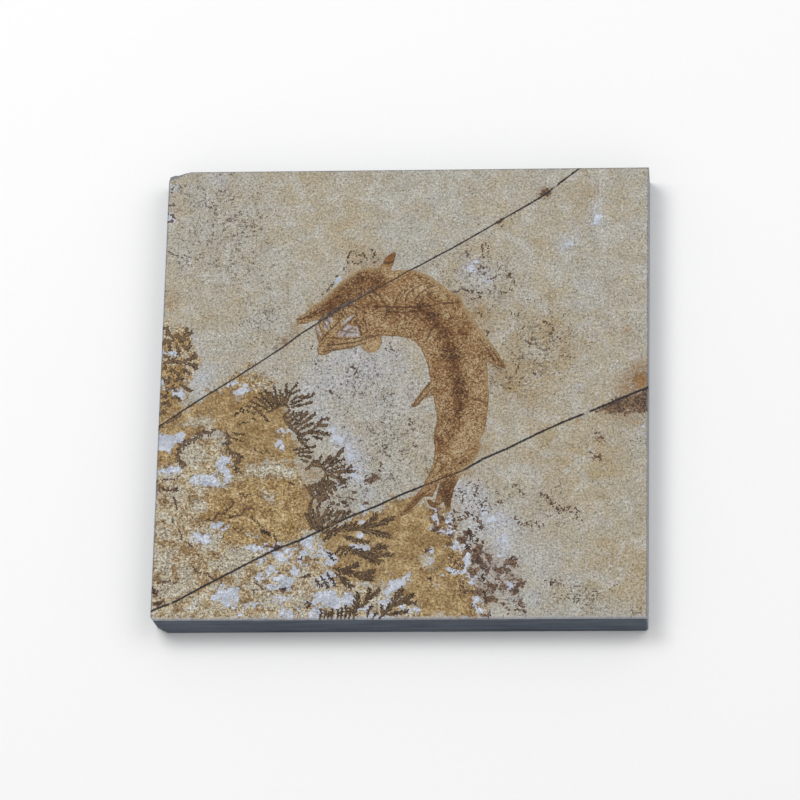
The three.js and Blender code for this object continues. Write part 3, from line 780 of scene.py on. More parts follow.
# Fine bones and rays: (half width at the start, half width at the end, points).
BONES = [
    (0.45, 0.3, [(-12.6, 37.6), (-9, 37.3), (-2, 37.1), (6, 37), (10, 37.6), (15, 38.5), (21, 39)]),
    (0.35, 0.3, [(-8, 35.2), (-3, 34.8), (2, 34.9), (7, 35.6)]), (0.25, 0.2, [(12, 33.6), (17, 33.9)]),
    (0.3, 0.2, [(0, 40), (1, 43), (3.5, 45.5), (6.3, 47.1)]),
    (0.3, 0.2, [(3.7, 40.5), (7, 44), (10, 46.2), (12.5, 46.6)]),
    (0.25, 0.2, [(6, 39.5), (8, 42), (11, 43.6), (13.5, 44)]),
    (0.25, 0.2, [(-4, 39), (-3.4, 41.5), (-2, 44)]),
    (0.35, 0.25, [(-24, 38.2), (-20.5, 37.4), (-17.5, 35.6), (-16, 34.4)]),
    (0.35, 0.3, [(-13.5, 44.5), (-10.5, 42), (-8.5, 39), (-7.5, 35.5), (-8, 32)]),
    (0.4, 0.3, [(-31.6, 20.3), (-27, 20.6), (-20, 21.6), (-15, 23.4), (-10.4, 24.8)]),
    (0.25, 0.25, [(-30, 23.8), (-25, 22.8), (-20, 23.4), (-15, 23.9), (-10, 24.6)]),
    (0.25, 0.25, [(-33, 17.6), (-27, 18.5), (-21, 19.7), (-16, 21.3)]),
    (0.3, 0.3, [(-34.6, 22), (-31.6, 26), (-27.4, 30.5), (-25.5, 33.5)]),
    (0.3, 0.3, [(-27.6, 26.4), (-23.2, 30.4), (-20.5, 33)]),
    (0.5, 0.5, [(-20.8, 31), (-18.6, 28.4), (-17.8, 25)]),
    (0.35, 0.3, [(-17, 32), (-15.8, 29), (-15.4, 25.8)]), (0.3, 0.2, [(-37, 29), (-36.3, 26), (-34, 22.6)]),
    (0.3, 0.2, [(-35.4, 30), (-34.4, 27), (-32.4, 24)]),
    (0.3, 0.2, [(-33.6, 31), (-32, 28.4), (-30.4, 26)]),
    (0.3, 0.25, [(-30.5, 27), (-28.5, 29), (-27, 31.5)]),
    (0.5, 0.3, [(26.5, 37), (24.5, 39.8), (21, 39.2)]), (0.3, 0.2, [(23, -11), (23.3, -15), (22.8, -18)]),
    (0.35, 0.25, [(20.4, -20.5), (18.6, -23.4)]), (0.3, 0.2, [(17, -34.6), (14.6, -37), (12.6, -39)]),
    (0.25, 0.2, [(14.8, -30), (13.4, -34), (11.2, -39)]), (0.3, 0.2, [(11.4, 3.6), (8, -1), (4.2, -7)]),
    (0.25, 0.2, [(11.8, 0.6), (9, -2.6), (5.4, -7)]), (0.25, 0.2, [(35, 19), (38, 14.6), (41, 9.4)]),
    (0.25, 0.2, [(34.4, 16), (37, 12.6)]), (0.6, 0.5, [(-8.8, 57.4), (-7, 57.2), (-5.2, 58)]),
    (0.25, 0.2, [(-5, 58), (-4.6, 61)]), (0.3, 0.2, [(1, -54.4), (4, -51), (8, -47), (12, -43.6)]),
    (0.25, 0.2, [(3.4, -52.8), (8, -48.4), (12, -45.8)]), (0.3, 0.2, [(2, -53.4), (6, -48.6), (10, -44.6)]),
    (0.2, 0.15, [(24, -1.4), (27, -3.2), (30, -4.6), (34, -5.6)]),
    (0.2, 0.15, [(19.4, -12.6), (17.4, -17)]), (0.25, 0.2, [(31, 22), (34.4, 17.4), (37.6, 12.8)]),
    (0.25, 0.2, [(33, 13.4), (36.4, 11.6)]), (0.3, 0.2, [(9, 42), (11.6, 40), (14.4, 39.2)]),
    (0.25, 0.2, [(-2, 41), (0, 44.4), (3, 47)]), (0.35, 0.3, [(9, 34.6), (11.4, 31.4), (13.6, 28)]),
    (0.25, 0.2, [(5, 33), (8.4, 30.4), (11, 27)]), (0.3, 0.25, [(-22, 38.4), (-19, 36.8), (-16.4, 34.4)]),
    (0.3, 0.25, [(-15, 42.6), (-12.6, 40.4), (-11, 37.6)]),
    (0.4, 0.3, [(-43, 32), (-38, 34.6), (-32.6, 38.6), (-28, 42.4)]),
    (0.3, 0.25, [(-40, 32.4), (-35.4, 35.2), (-31, 38)]), (0.3, 0.25, [(9, 21.6), (11, 27), (14, 30)]),
    (0.3, 0.2, [(-32.6, 32), (-31, 30.4), (-30.6, 28)]),
    (0.3, 0.25, [(-26.6, 27), (-24, 26.4), (-21.6, 27.8)]),
    (0.3, 0.2, [(-25, 24.4), (-23.4, 26), (-21, 26)]),
]
# Where the film is darkest, along the backbone and on the skull, and where it is thin or gone.
SPINE = [
    (7, 36.5), (10, 34.4), (13, 31), (15.2, 27.4), (17.2, 23), (19.5, 17), (21, 10), (22, 4), (22.8, -2),
    (23, -8),
]
SPINE_TAIL = [(23, -8), (22, -13), (20, -19), (18.6, -25), (17.8, -31), (16.8, -35)]
DARK_GLOWS = [
    (-19, 51, 3.4, 0.8), (-14, 49.6, 4, 0.8), (-20, 47.4, 3.6, 0.8), (-24, 44.4, 3.6, 0.8),
    (-11, 47, 3.4, 0.6), (-27, 41, 3.4, 0.8), (-31, 38, 3, 0.8), (-33.6, 35.8, 2.6, 0.6),
    (-37, 34.4, 2.4, 0.45), (-29.3, 35, 2.6, 0.8), (-37, 30.6, 2, 0.7), (-29, 17.6, 1.4, 0.5),
    (-31.4, 19.8, 1.2, 0.7), (-33, 24, 2, 0.35), (-30, 22.6, 1.6, 0.4), (-12, 37.5, 1.6, 0.8),
    (-5, 36, 4, 0.55), (3, 36, 5, 0.4), (10, 36, 4, 0.2), (23.4, 25.6, 1.6, 0.7), (25.4, 24.2, 1.4, 0.6),
    (26, 33, 2.4, 0.35), (15, -22.5, 1.8, 0.85), (14.8, -26, 1.8, 0.5), (18, -19.4, 1.3, 0.8),
    (25.4, -31.6, 2, 0.6), (28, -28, 2.6, 0.35), (19.2, -41.4, 3, 1.4), (18.8, -45.4, 3, 1.4),
    (19.4, -50, 2.4, 1.3), (16.6, -44.6, 1.6, 0.9), (12.8, -49.6, 2.4, 0.9), (6, -48.6, 3, 0.3),
    (17.6, -38.6, 2, 0.4), (14.5, 15, 4, 0.3), (13, 9, 3, 0.25), (-6.2, 60.4, 2, 0.9), (5.6, 38, 2, 0.5),
    (2.6, 52, 5, 0.3), (9, 49, 4, 0.25), (24, 28, 3, 0.3), (20.6, 30, 3.4, 0.3), (33.5, 4, 1.6, 0.25),
    (23.6, 2, 4, 0.2), (20, 14, 5, 0.15), (19, 26, 5, 0.35), (13, -14, 1.2, 0.4), (-16, 39, 3, 0.3),
    (40, 10.6, 1.6, 0.3),
]
THIN_GLOWS = [
    (-30, 18.8, 5, 0.4), (-20, 21, 5, 0.35), (1, 40, 6, 0.3), (20, -27, 6, 0.2), (-38, 34, 4, 0.35),
    (20, 30, 7, 0.25), (6, -48, 4, 0.3), (14, -38.4, 4, 0.4), (17, 26, 6, 0.15), (-8, 28, 6, 0.15),
    (13, 45, 2.6, 0.5), (17.6, 42, 2, 0.4), (7, 45.4, 0.9, 0.9), (24, -25, 4, 0.7), (27, -23, 3, 0.6),
    (21, -27.4, 2.6, 0.5), (26, 10, 1.2, 0.5), (30.4, 0, 1.5, 0.9), (29.4, 4, 1, 0.6), (27.8, 8.6, 1, 0.7),
    (31, -8, 2, 0.4), (25, -17, 3, 0.5), (19.6, -16, 1.6, 0.5), (28, -14, 3, 0.4), (-16, 32, 1.6, 0.5),
    (-11.5, 31.5, 1.4, 0.6), (-9.6, 27.6, 1.6, 0.3), (-13, 20, 3.4, 0.55), (29, 24, 1.6, 0.4),
    (10, 47.6, 2, 0.35), (-3, 50, 5, 0.35), (6, 49, 4, 0.35), (16.4, -30, 2, 0.4), (19, -33, 2, 0.4),
    (13, -38.6, 2, 0.3), (8, -45, 1.4, 0.2), (9, 22, 3, 0.5), (11, 14, 2.6, 0.4), (12.6, 3, 2, 0.4),
    (31.6, 14, 3, 0.3), (24, -37, 2.4, 0.6), (-4, 32, 4, 0.15), (7, -2, 4, 0.45), (-31, 29.5, 2.4, 0.7),
    (-34, 26.5, 2.4, 0.6), (16, 10, 3, 0.15), (15.6, -4, 2.6, 0.2), (-24, 20.2, 3, 0.2), (4, 47, 6, 0.3),
    (-1, 46, 4, 0.3), (12, 49, 3, 0.3), (-8.6, 55.6, 1.6, 0.6), (26, -20, 4, 0.4), (28.6, 1, 1.4, 0.8),
    (22.6, 34, 1, 0.7), (24.8, 31, 0.8, 0.6), (-13.4, 18, 3, 0.4), (11.4, -45.4, 1.6, 0.35),
    (9.6, -44.6, 1.6, 0.3),
]
# Where it is redder: the fin on the head and the ends of the tail.
RED_GLOWS = [
    (-6.6, 60, 3.4, 0.9), (3, -52, 4.6, 0.9), (7.6, -47, 3.6, 0.7), (19, -53, 2, 0.6), (22, 40, 5, 0.3),
]
# Where the upper joint crosses the skull it is smeared and broken.
SMEARS = [
    (0.7, 1.3, [(-38.4, 28.6), (-35.4, 31), (-31.6, 33.6)]),
    (1.3, 1.1, [(-31.6, 33.8), (-28, 36.6), (-24.4, 38.8), (-21, 40.4)]),
    (0.5, 0.6, [(-22, 40), (-17, 43.4), (-12.6, 46.4)]), (0.5, 0.5, [(-31.4, 19.6), (-28.6, 18.4)]),
]
GAPS = [
    [(-26.8, 28.8), (-25.4, 31), (-23.2, 33.4), (-21.2, 34.6), (-20.8, 32.8), (-22.6, 31.2), (-24.2, 29.6)],
    [
        (-27.8, 24), (-27.2, 26), (-25, 28.4), (-23, 29.8), (-21.4, 28.6), (-19.2, 29), (-18.6, 26.4),
        (-18.2, 24), (-23, 23.6),
    ],
    [(-37, 29.4), (-36.4, 26.4), (-35, 23.4), (-34, 24.6), (-34.6, 27), (-35.6, 30)],
    [(-34, 31.6), (-33.4, 28.6), (-32.4, 26.6), (-31, 28.8), (-29, 31.4), (-30.4, 33.2), (-32.6, 33)],
]
# On the back the film fades out in a tan halo, and its belly ends in a sharp line.
SHARP_GLOWS = [
    (x, y, 5.5, 1.0)
    for x, y in BELLY[::2] + [
        (-22, 18), (-28, 17), (-34, 17), (-36, 22), (-8, 59), (-5, 60), (35, -6), (34.5, -14), (38, 12),
        (20, -48), (16, -46), (10, -47), (4, -50), (0, -54), (13, -50), (18, -42),
    ]
]
SHARP_GLOWS += [
    (36, 19, 3, 0.7), (40, 13, 3, 0.8), (-43.6, 32, 3, 0.9), (-39, 35.4, 3, 0.6), (-42, 30, 3, 0.9),
]


def film(name, low, high, cell, depth_at, rise_at, fields_at, material, skirt=SKIRT):
    """A thin film on the face, as one closed piece. Its edge dips into the stone where its depth is 0."""
    mesh = bmesh.new()
    across, up = round((high[0] - low[0]) / cell), round((high[1] - low[1]) / cell)
    middle = Vector(((low[0] + high[0]) / 2, (low[1] + high[1]) / 2, THICKNESS)) * MM
    fit = Matrix.Translation(middle) @ Matrix.Diagonal((across * cell / 2, up * cell / 2, 1, 1))
    bmesh.ops.create_grid(mesh, x_segments=across, y_segments=up, size=MM, matrix=fit)
    mesh.verts.ensure_lookup_table()
    kept = depth_at(flat_places(mesh)) > -skirt
    outside = [f for f in mesh.faces if not all(kept[v.index] for v in f.verts)]
    bmesh.ops.delete(mesh, geom=outside, context="FACES")
    cut_along_joints(mesh)
    xy = flat_places(mesh)
    depth = depth_at(xy)
    height = THICKNESS + face_height(xy) + rise_at(xy, depth)
    for vertex, z in zip(mesh.verts, height):
        vertex.co.z = z * MM
    rim = [e for e in mesh.edges if e.is_boundary]
    grown = bmesh.ops.extrude_edge_only(mesh, edges=rim)["geom"]
    for vertex in (g for g in grown if isinstance(g, bmesh.types.BMVert)):
        vertex.co.z = (THICKNESS - FOOT_DEPTH) * MM
    foot = [g for g in grown if isinstance(g, bmesh.types.BMEdge)]
    bmesh.ops.edgeloop_fill(mesh, edges=foot)
    bmesh.ops.recalc_face_normals(mesh, faces=mesh.faces)
    xy = flat_places(mesh)
    piece = finished(name, mesh, fields_at(xy, depth_at(xy)), material)
    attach(piece, "root")
    return piece


def fish_depth(xy):
    """How far inside the fish each point is, with a slightly ragged outline."""
    depth = depth_inside(xy, OUTLINE)
    near = np.abs(depth) < 1.6
    depth[near] += 0.3 * rough(xy[near], 1.8, 5.5) + 0.12 * rough(xy[near], 0.6, 1.5)
    return depth


def fish_rise(xy, depth):
    """How proud of the face the film stands."""
    body = np.interp(depth, [-SKIRT, 0, 0.5, 3, 7], [-0.2, 0, 0.08, 0.16, 0.22])
    bones = np.clip(depth_in_strokes(xy, BONES) / 0.3 + 0.5, 0, 1)
    gaps = np.clip(np.max([depth_inside(xy, gap) for gap in GAPS], axis=0) / 0.5 + 0.5, 0, 1)
    return body + np.clip(depth, 0, 1) * (0.08 * bones - 0.07 * gaps)


def fish_fields(xy, depth):
    """What the film's material reads."""
    spine = distance_to_line(xy, SPINE)[0]
    tail = distance_to_line(xy, SPINE_TAIL)[0]
    away, along, side = distance_to_line(xy, CENTRELINE)
    return {
        "depth": depth,
        "spine": np.exp(-((spine / 2.9) ** 2)) + 0.45 * np.exp(-((tail / 1.6) ** 2)),
        "dark": glow(xy, DARK_GLOWS),
        "thin": glow(xy, THIN_GLOWS),
        "bone": depth_in_strokes(xy, BONES),
        "smear": depth_in_strokes(xy, SMEARS),
        "red": glow(xy, RED_GLOWS),
        "gap": np.max([depth_inside(xy, gap) for gap in GAPS], axis=0).clip(-3, 3),
        "sharp": glow(xy, SHARP_GLOWS),
        "along": along,
        "across": away * side,
        "joint": (1 - np.min([distance_to_line(xy, line)[0] for line in JOINTS], axis=0) / 0.6).clip(0, 1),
    }


# The shares of three noises in the brown. The base takes off what they add at their middles.
COARSE_BROWN, GRAIN_BROWN, FINE_BROWN = 0.45, 1.7, 3.1
BASE_BROWN = 0.37 - (COARSE_BROWN + GRAIN_BROWN + FINE_BROWN) / 2
FISH_FIELDS = (
    "depth", "spine", "dark", "thin", "red", "bone", "smear", "gap", "sharp", "along", "across", "joint",
)
FISH_NOISES = {"coarse": (6, 4, 0.65, 0), "grain": (1.2, 5, 0.85, 0), "fine": (0.65, 2, 0.8, 0)}
FILM = [
    (0.0, "#b8a688"), (0.2, "#9e845c"), (0.4, "#8a6b46"), (0.6, "#71543b"), (0.8, "#573d2c"),
    (1.0, "#39261c"),
]


def fossil_film():
    """Phosphate of skin and bone, stained by iron: a granular warm brown film, darkest over the backbone
    and the skull, with the oblique grain of the muscle blocks and small pits where the stone shows."""
    name = "brown fossil skin and bone"
    material, put, shader, field, noise_of = new_material(name, FISH_FIELDS, FISH_NOISES)
    coarse, grain, fine = (noise_of[n] for n in ("coarse", "grain", "fine"))
    slant = put("Math", field["across"], operation="ABSOLUTE")
    slant = put("Math", slant, 1.3, field["along"], operation="MULTIPLY_ADD")
    over = put("Math", field["across"], 0.3, operation="MULTIPLY")
    streaks = put("TexNoise", put("CombineXYZ", slant, over), 1.0, 3, 0.7)
    # the muscle blocks show most behind the belly, as chevrons
    chevrons = put("MapRange", field["along"], 96, 112, 0.9, 1.3)
    chevrons = put("Math", put("Math", streaks, 0.5, operation="SUBTRACT"), chevrons, operation="MULTIPLY")

    # how much brown there is, from 0, thin and tan, to 1
    brown = put("Math", field["spine"], 0.38, BASE_BROWN, operation="MULTIPLY_ADD")
    for amount, share in (
        (field["dark"], 0.42), (field["thin"], -0.32), (coarse[0], COARSE_BROWN), (grain[0], GRAIN_BROWN),
        (chevrons, 1.0), (fine[0], FINE_BROWN),
    ):
        brown = put("Math", amount, share, brown, operation="MULTIPLY_ADD")
    colour = put("ValToRGB", brown, stops=FILM)
    redness = put("MapRange", coarse[1], 0.4, 0.7, 0, 0.4)
    redness = put("Math", field["red"], 0.55, redness, operation="MULTIPLY_ADD", use_clamp=True)
    colour = put("Mix", redness, colour, "#83552c", data_type="RGBA")

    # gaps and pits where the stone shows, then bones and flecks
    gap = put("Math", grain[2], 4, field["gap"], operation="MULTIPLY_ADD")
    gap = put("MapRange", gap, 1.9, 2.5, 0, 0.85)
    pale = put("Mix", put("MapRange", grain[1], 0.44, 0.54), "#7d674e", "#bbb9bf", data_type="RGBA")
    colour = put("Mix", gap, colour, pale, data_type="RGBA")
    pit = put(
        "Math", put("MapRange", fine[1], 0.62, 0.7), put("MapRange", coarse[2], 0.45, 0.6, 0, 0.35),
        operation="MULTIPLY",
    )
    colour = put("Mix", pit, colour, "#bcae94", data_type="RGBA")
    bone = put("Math", grain[1], 2.2, field["bone"], operation="MULTIPLY_ADD")
    bone = put("MapRange", bone, 0.95, 1.2, 0, 0.7)
    colour = put("Mix", bone, colour, "#432a1c", data_type="RGBA")
    fleck = put("MapRange", fine[2], 0.61, 0.67, 0, 0.6)
    colour = put("Mix", fleck, colour, "#3f291d", data_type="RGBA")

    # the edge: a tan halo on the back, a thin dark line on the belly; and the joints' lips
    inside = put(
        "Math", coarse[1], 2, put("Math", grain[0], 1.6, field["depth"], operation="MULTIPLY_ADD"),
        operation="MULTIPLY_ADD",
    )
    blunt = put("Math", 1, field["sharp"], operation="SUBTRACT")
    halo = put(
        "Math", put("MapRange", inside, 3.7, 1.7, 0, 0.9), blunt, operation="MULTIPLY", use_clamp=True
    )
    colour = put("Mix", halo, colour, "#9e8a68", data_type="RGBA")
    rim = put(
        "Math", put("MapRange", field["depth"], 0.7, 0.3, 0, 0.5), field["sharp"], operation="MULTIPLY"
    )
    colour = put("Mix", rim, colour, "#5f432c", data_type="RGBA")
    seam = put(
        "MapRange", put("Math", fine[1], 0.5, field["joint"], operation="MULTIPLY_ADD"), 0.6, 0.95, 0, 0.85
    )
    colour = put("Mix", seam, colour, "#35302f", data_type="RGBA")
    smear = put(
        "MapRange", put("Math", grain[2], 5.5, field["smear"], operation="MULTIPLY_ADD"), 2.8, 3.2, 0, 0.85
    )
    smeared = put("Mix", put("MapRange", grain[1], 0.42, 0.58), "#2d2526", "#6f665e", data_type="RGBA")
    colour = put("Mix", smear, colour, smeared, data_type="RGBA")

    relief = put("Math", streaks, 0.5, grain[0], operation="MULTIPLY_ADD")
    bump = put("Bump", 0.6, 0.18 * MM, None, relief)
    finish_material(material.node_tree, shader, colour, 0.75, 0.2, bump)
    return material


fish = film(
    "fossil_fish", (-46.5, -57.5), (43.5, 64), FISH_CELL, fish_depth, fish_rise, fish_fields, fossil_film()
)

# ---------------------------------------------------------------------------------------------------
# The dendrites. Manganese and iron oxides that crept out of the joints between the beds and froze there
# as ferny fronds, lobed tide lines and lacy strings: black-brown crusts a tenth of a millimetre thick.

# A stem: (half width, length of its longest side fingers, points).
LEFT_EDGE = [
    (0.63, 0.99, [(-99.6, 28.4), (-98, 28.6), (-97.6, 26)]),
    (0.67, 0.99, [(-99.5, 21.4), (-98.5, 23), (-96.6, 22.4)]), (0.57, 0.77, [(-96.8, 21.4), (-96.4, 18.6)]),
    (0.67, 0.99, [(-95.5, 24.6), (-93.4, 25.2), (-91.5, 23)]),
    (0.47, 0.88, [(-92.4, 22), (-91, 24), (-89.8, 27.8)]), (0.47, 0.66, [(-89.6, 25), (-88, 26.4)]),
    (0.57, 0.88, [(-94, 21), (-93.2, 19), (-93, 17)]),
    (0.52, 0.88, [(-91.4, 20.4), (-89.6, 19.4), (-88.6, 20.6)]),
    (0.57, 0.99, [(-92, 13), (-90, 13.6), (-88, 14.6), (-86.2, 16.4)]),
    (0.47, 0.66, [(-88, 14.4), (-85.2, 15.4)]), (0.47, 0.77, [(-89.6, 12.2), (-86.6, 12.2), (-85.4, 10.4)]),
    (0.67, 0.99, [(-98.6, 13), (-95, 14), (-92, 13)]), (0.47, 0.77, [(-91, 10), (-88, 8.2)]),
    (0.57, 0.66, [(-99, 16.6), (-97.6, 15.4)]), (0.52, 0.88, [(-97, 9), (-94.6, 10), (-93, 8)]),
    (0.47, 0.77, [(-91.8, 3.2), (-89.2, 1.6), (-87.2, 0.2)]),
    (0.47, 0.77, [(-94, 4.4), (-92.6, 6.2), (-90.6, 5.6)]),
    (0.47, 0.77, [(-99, 6), (-97, 4.6), (-96, 6.4)]),
    (0.47, 0.66, [(-96.4, 1), (-94.6, 2.2), (-93.4, 0.2)]),
    (0.47, 0.66, [(-99.4, -1), (-97.6, -2), (-96.8, 0)]), (0.41, 0.66, [(-95, -3), (-93, -2), (-91.6, -4)]),
    (0.47, 0.66, [(-98.8, -5.6), (-97, -4.6), (-95.6, -6.4)]), (0.47, 0.55, [(-99.4, -9.6), (-97.4, -8.6)]),
    (0.57, 0.77, [(-96.4, -13.6), (-94, -12), (-91, -10)]), (0.57, 0.44, [(-99.8, -16.2), (-98.6, -15.4)]),
    (0.47, 0.55, [(-99, 10), (-98, 11.4)]),
]
UPPER_FRONDS = [
    # the fan over the tan lozenge, from its left round to its right
    (0.37, 0.13, [(-55.6, -9.4), (-53.4, -8.4), (-50.6, -6.6), (-48, -6.2), (-46.6, -7.4), (-46.2, -8.8)]),
    (0.37, 0.58, [(-55, -8.8), (-58.6, -6.4), (-62.2, -4.6)]),
    (0.37, 0.51, [(-54.4, -7.8), (-57.8, -4.6), (-60.6, -2.6)]),
    (0.37, 0.51, [(-53.4, -7.6), (-56.2, -3.8), (-58.6, -1)]),
    (0.37, 0.45, [(-52.6, -7), (-54.6, -3.4), (-56.4, 0)]),
    (0.37, 0.38, [(-51.8, -6.6), (-53, -3), (-54.4, -0.4)]),
    (0.37, 0.45, [(-51, -6.2), (-51.8, -2.4), (-52.8, 1.2)]),
    (0.37, 0.38, [(-50, -6), (-50.4, -2.6), (-50.8, 0.4)]),
    (0.37, 0.32, [(-49, -5.8), (-49, -3.6), (-49.4, -1.6)]),
    (0.37, 0.58, [(-48.2, -5.4), (-47.8, -1.6), (-48, 2.6)]),
    (0.37, 0.51, [(-47.4, -5), (-46.2, -0.6), (-43.6, 3.2)]),
    (0.37, 0.45, [(-45.8, -1.4), (-43.6, -0.2), (-42.6, 0.4)]),
    (0.37, 0.58, [(-46.4, -5), (-44, -3), (-41.6, -2.6)]),
    (0.37, 0.64, [(-46, -6), (-42, -4.2), (-38.8, -1.8)]),
    (0.37, 0.45, [(-40.4, -3), (-37.8, -2.6), (-36.4, -1)]),
    (0.37, 0.58, [(-45.6, -7.2), (-41, -6.2), (-37, -4.8)]),
    (0.35, 0.38, [(-60, -8.2), (-58, -10), (-56, -12.4), (-55, -13.6)]),
    # feathery strokes under the ochre to its left
    (0.26, 0.57, [(-59.6, -8.6), (-61.4, -7), (-64.4, -6.6)]),
    (0.22, 0.57, [(-60.6, -10.4), (-63.4, -8.8), (-66.6, -7.6)]),
    (0.26, 0.57, [(-64.4, -9.4), (-67, -8.8), (-68.6, -10.6)]),
    (0.22, 0.46, [(-62.6, -14), (-65.6, -14), (-68, -15.6)]),
    (0.18, 0.46, [(-60, -12.4), (-61.6, -12.2), (-63.4, -12)]),
    (0.26, 0.57, [(-69.6, -18), (-67.4, -19), (-64.8, -19)]),
    (0.22, 0.46, [(-70, -20.4), (-67.6, -21.4), (-65, -22.4)]),
    (0.26, 0.69, [(-60.4, -9.4), (-58.4, -9.2), (-57.4, -7.6)]),
    # the cluster to the right of its stem
    (0.57, 0.52, [(-46.4, -8.6), (-48.2, -10.6), (-48, -13.4), (-45.8, -16), (-43, -18.4), (-40.8, -20.2)]),
    (0.41, 0.83, [(-47, -12.2), (-44.6, -9.8)]),
    (0.44, 0.93, [(-46.4, -14), (-43.4, -11.2), (-41.4, -9.6)]),
    (0.44, 0.93, [(-45, -15.4), (-41.6, -12.2), (-39, -9.8)]),
    (0.44, 0.93, [(-43.8, -16.4), (-39.6, -13.4), (-36, -10.2)]),
    (0.41, 0.83, [(-42.4, -17.4), (-39.4, -15.6), (-36.8, -14.6)]),
    (0.48, 0.93, [(-41, -19.4), (-37, -17.8), (-34.6, -14.8), (-33, -12.4), (-30.4, -12.6)]),
    (0.41, 0.72, [(-35, -15.6), (-32.6, -15.4), (-31, -15.6)]),
    (0.48, 0.93, [(-38.4, -18.8), (-34, -18.4), (-30, -19.4)]),
    (0.41, 0.72, [(-36.4, -20.2), (-33.2, -21.4)]),
    (0.44, 0.93, [(-43, -19.4), (-41.2, -22.2), (-39.4, -24.2)]), (0.4, 0.72, [(-41, -21), (-38.4, -22)]),
    (0.35, 0.72, [(-44.4, -26.2), (-40, -25.6), (-35.4, -24.6)]),
    (0.35, 0.72, [(-43.4, -27.6), (-39.6, -27), (-36.4, -27.2)]),
    (0.35, 0.62, [(-42, -28.8), (-39, -29), (-37, -29.6)]), (0.35, 0.52, [(-41, -30.4), (-38.6, -31.4)]),
    # round the tan disc
    (
        0.57, 0.62,
        [
            (-38.8, -34.6), (-37, -33.4), (-34.2, -32.8), (-32, -33.4), (-30.8, -35.2), (-30.6, -37.2),
            (-32, -39.8),
        ],
    ),
    (0.41, 0.72, [(-37.4, -33.2), (-36, -31.6), (-34.4, -31.2)]),
    (0.41, 0.83, [(-34.4, -32.6), (-32.8, -29.4)]),
    (0.41, 0.83, [(-32.8, -32.8), (-30.4, -30.6), (-28.8, -29)]),
    (0.57, 0.93, [(-31, -32.6), (-27, -29.8), (-24, -26.2)]),
    (0.44, 0.93, [(-30, -33.8), (-26.4, -31.6), (-24, -30.6)]),
    (0.41, 0.83, [(-29.6, -35.2), (-26.4, -34.2), (-23.4, -33.4)]),
    (0.53, 0.93, [(-29.4, -36.2), (-24.6, -36), (-19.2, -35.8)]),
    (0.41, 0.62, [(-22.6, -35.2), (-20.4, -33.4)]),
    (0.41, 0.93, [(-29.4, -37.4), (-25.6, -38.6), (-23.4, -39.6)]),
    (0.41, 0.93, [(-30, -38.8), (-27.8, -41), (-26.6, -43.8)]),
    (0.41, 0.83, [(-31, -39.8), (-30, -42.6), (-28.4, -44.8)]),
    # the streaky mass that runs down to the joint
    (0.45, 0.6, [(-39, -41.8), (-37.6, -43.4), (-36.4, -45.6)]),
    (0.55, 0.7, [(-37.2, -41.8), (-35.8, -44.2), (-34.8, -47)]),
    (0.6, 0.7, [(-35.8, -41.6), (-34.2, -44.6), (-33, -48.6), (-33.2, -51)]),
    (0.6, 0.7, [(-34.6, -41.2), (-32.8, -44.4), (-31.4, -48.4)]),
    (0.6, 0.8, [(-33.4, -40.8), (-31.4, -43.6), (-29.6, -47.4)]),
    (0.55, 0.7, [(-32.2, -40.2), (-30, -42.8), (-28, -45.8)]),
    (0.5, 0.7, [(-31, -39.6), (-29.2, -41.6), (-27, -43.4)]),
    (0.4, 0.6, [(-35.4, -47.4), (-36.6, -50), (-37, -53)]),
    (0.5, 0.6, [(-38.4, -54), (-37, -57), (-35.6, -60.4)]),
    (0.55, 0.6, [(-37, -53), (-35.8, -56.6), (-34, -60.8), (-31.6, -61.4)]),
    (0.5, 0.6, [(-35.6, -52.4), (-34.6, -55.6), (-32.8, -60)]),
    (0.5, 0.7, [(-33.8, -52), (-33.2, -55.6), (-32, -59.4)]),
    (0.5, 0.8, [(-32.6, -57.6), (-30.6, -54.6), (-29.2, -51.6)]),
    (0.5, 0.8, [(-31.8, -59), (-29.2, -56), (-27.4, -52.8)]),
    (0.5, 0.8, [(-30.4, -60.2), (-27, -57.4), (-24.8, -54)]),
    (0.5, 0.7, [(-28.4, -59.8), (-24.4, -56.8), (-20.6, -53.6)]),
    (0.45, 0.6, [(-27.6, -55.6), (-25.6, -53.6), (-23, -53.4)]),
    (0.5, 0.6, [(-35, -60.8), (-32, -60.6), (-28.4, -59.6)]), (0.35, 0.5, [(-24.4, -48.8), (-22, -49.8)]),
    (0.35, 0.4, [(-26.6, -49.6), (-25, -50.2)]), (0.35, 0.4, [(-19.8, -44.6), (-18.4, -45.4)]),
    (0.35, 0.4, [(-24.4, -43), (-22.8, -42.6)]), (0.35, 0.4, [(-28.6, -50.4), (-27, -49.6)]),
    (0.3, 0.4, [(-23, -51.4), (-21.4, -50.6)]), (0.3, 0.4, [(-20.6, -47.4), (-19, -48.2)]),
    (0.3, 0.4, [(-26, -46.6), (-24.8, -47.4)]),
]
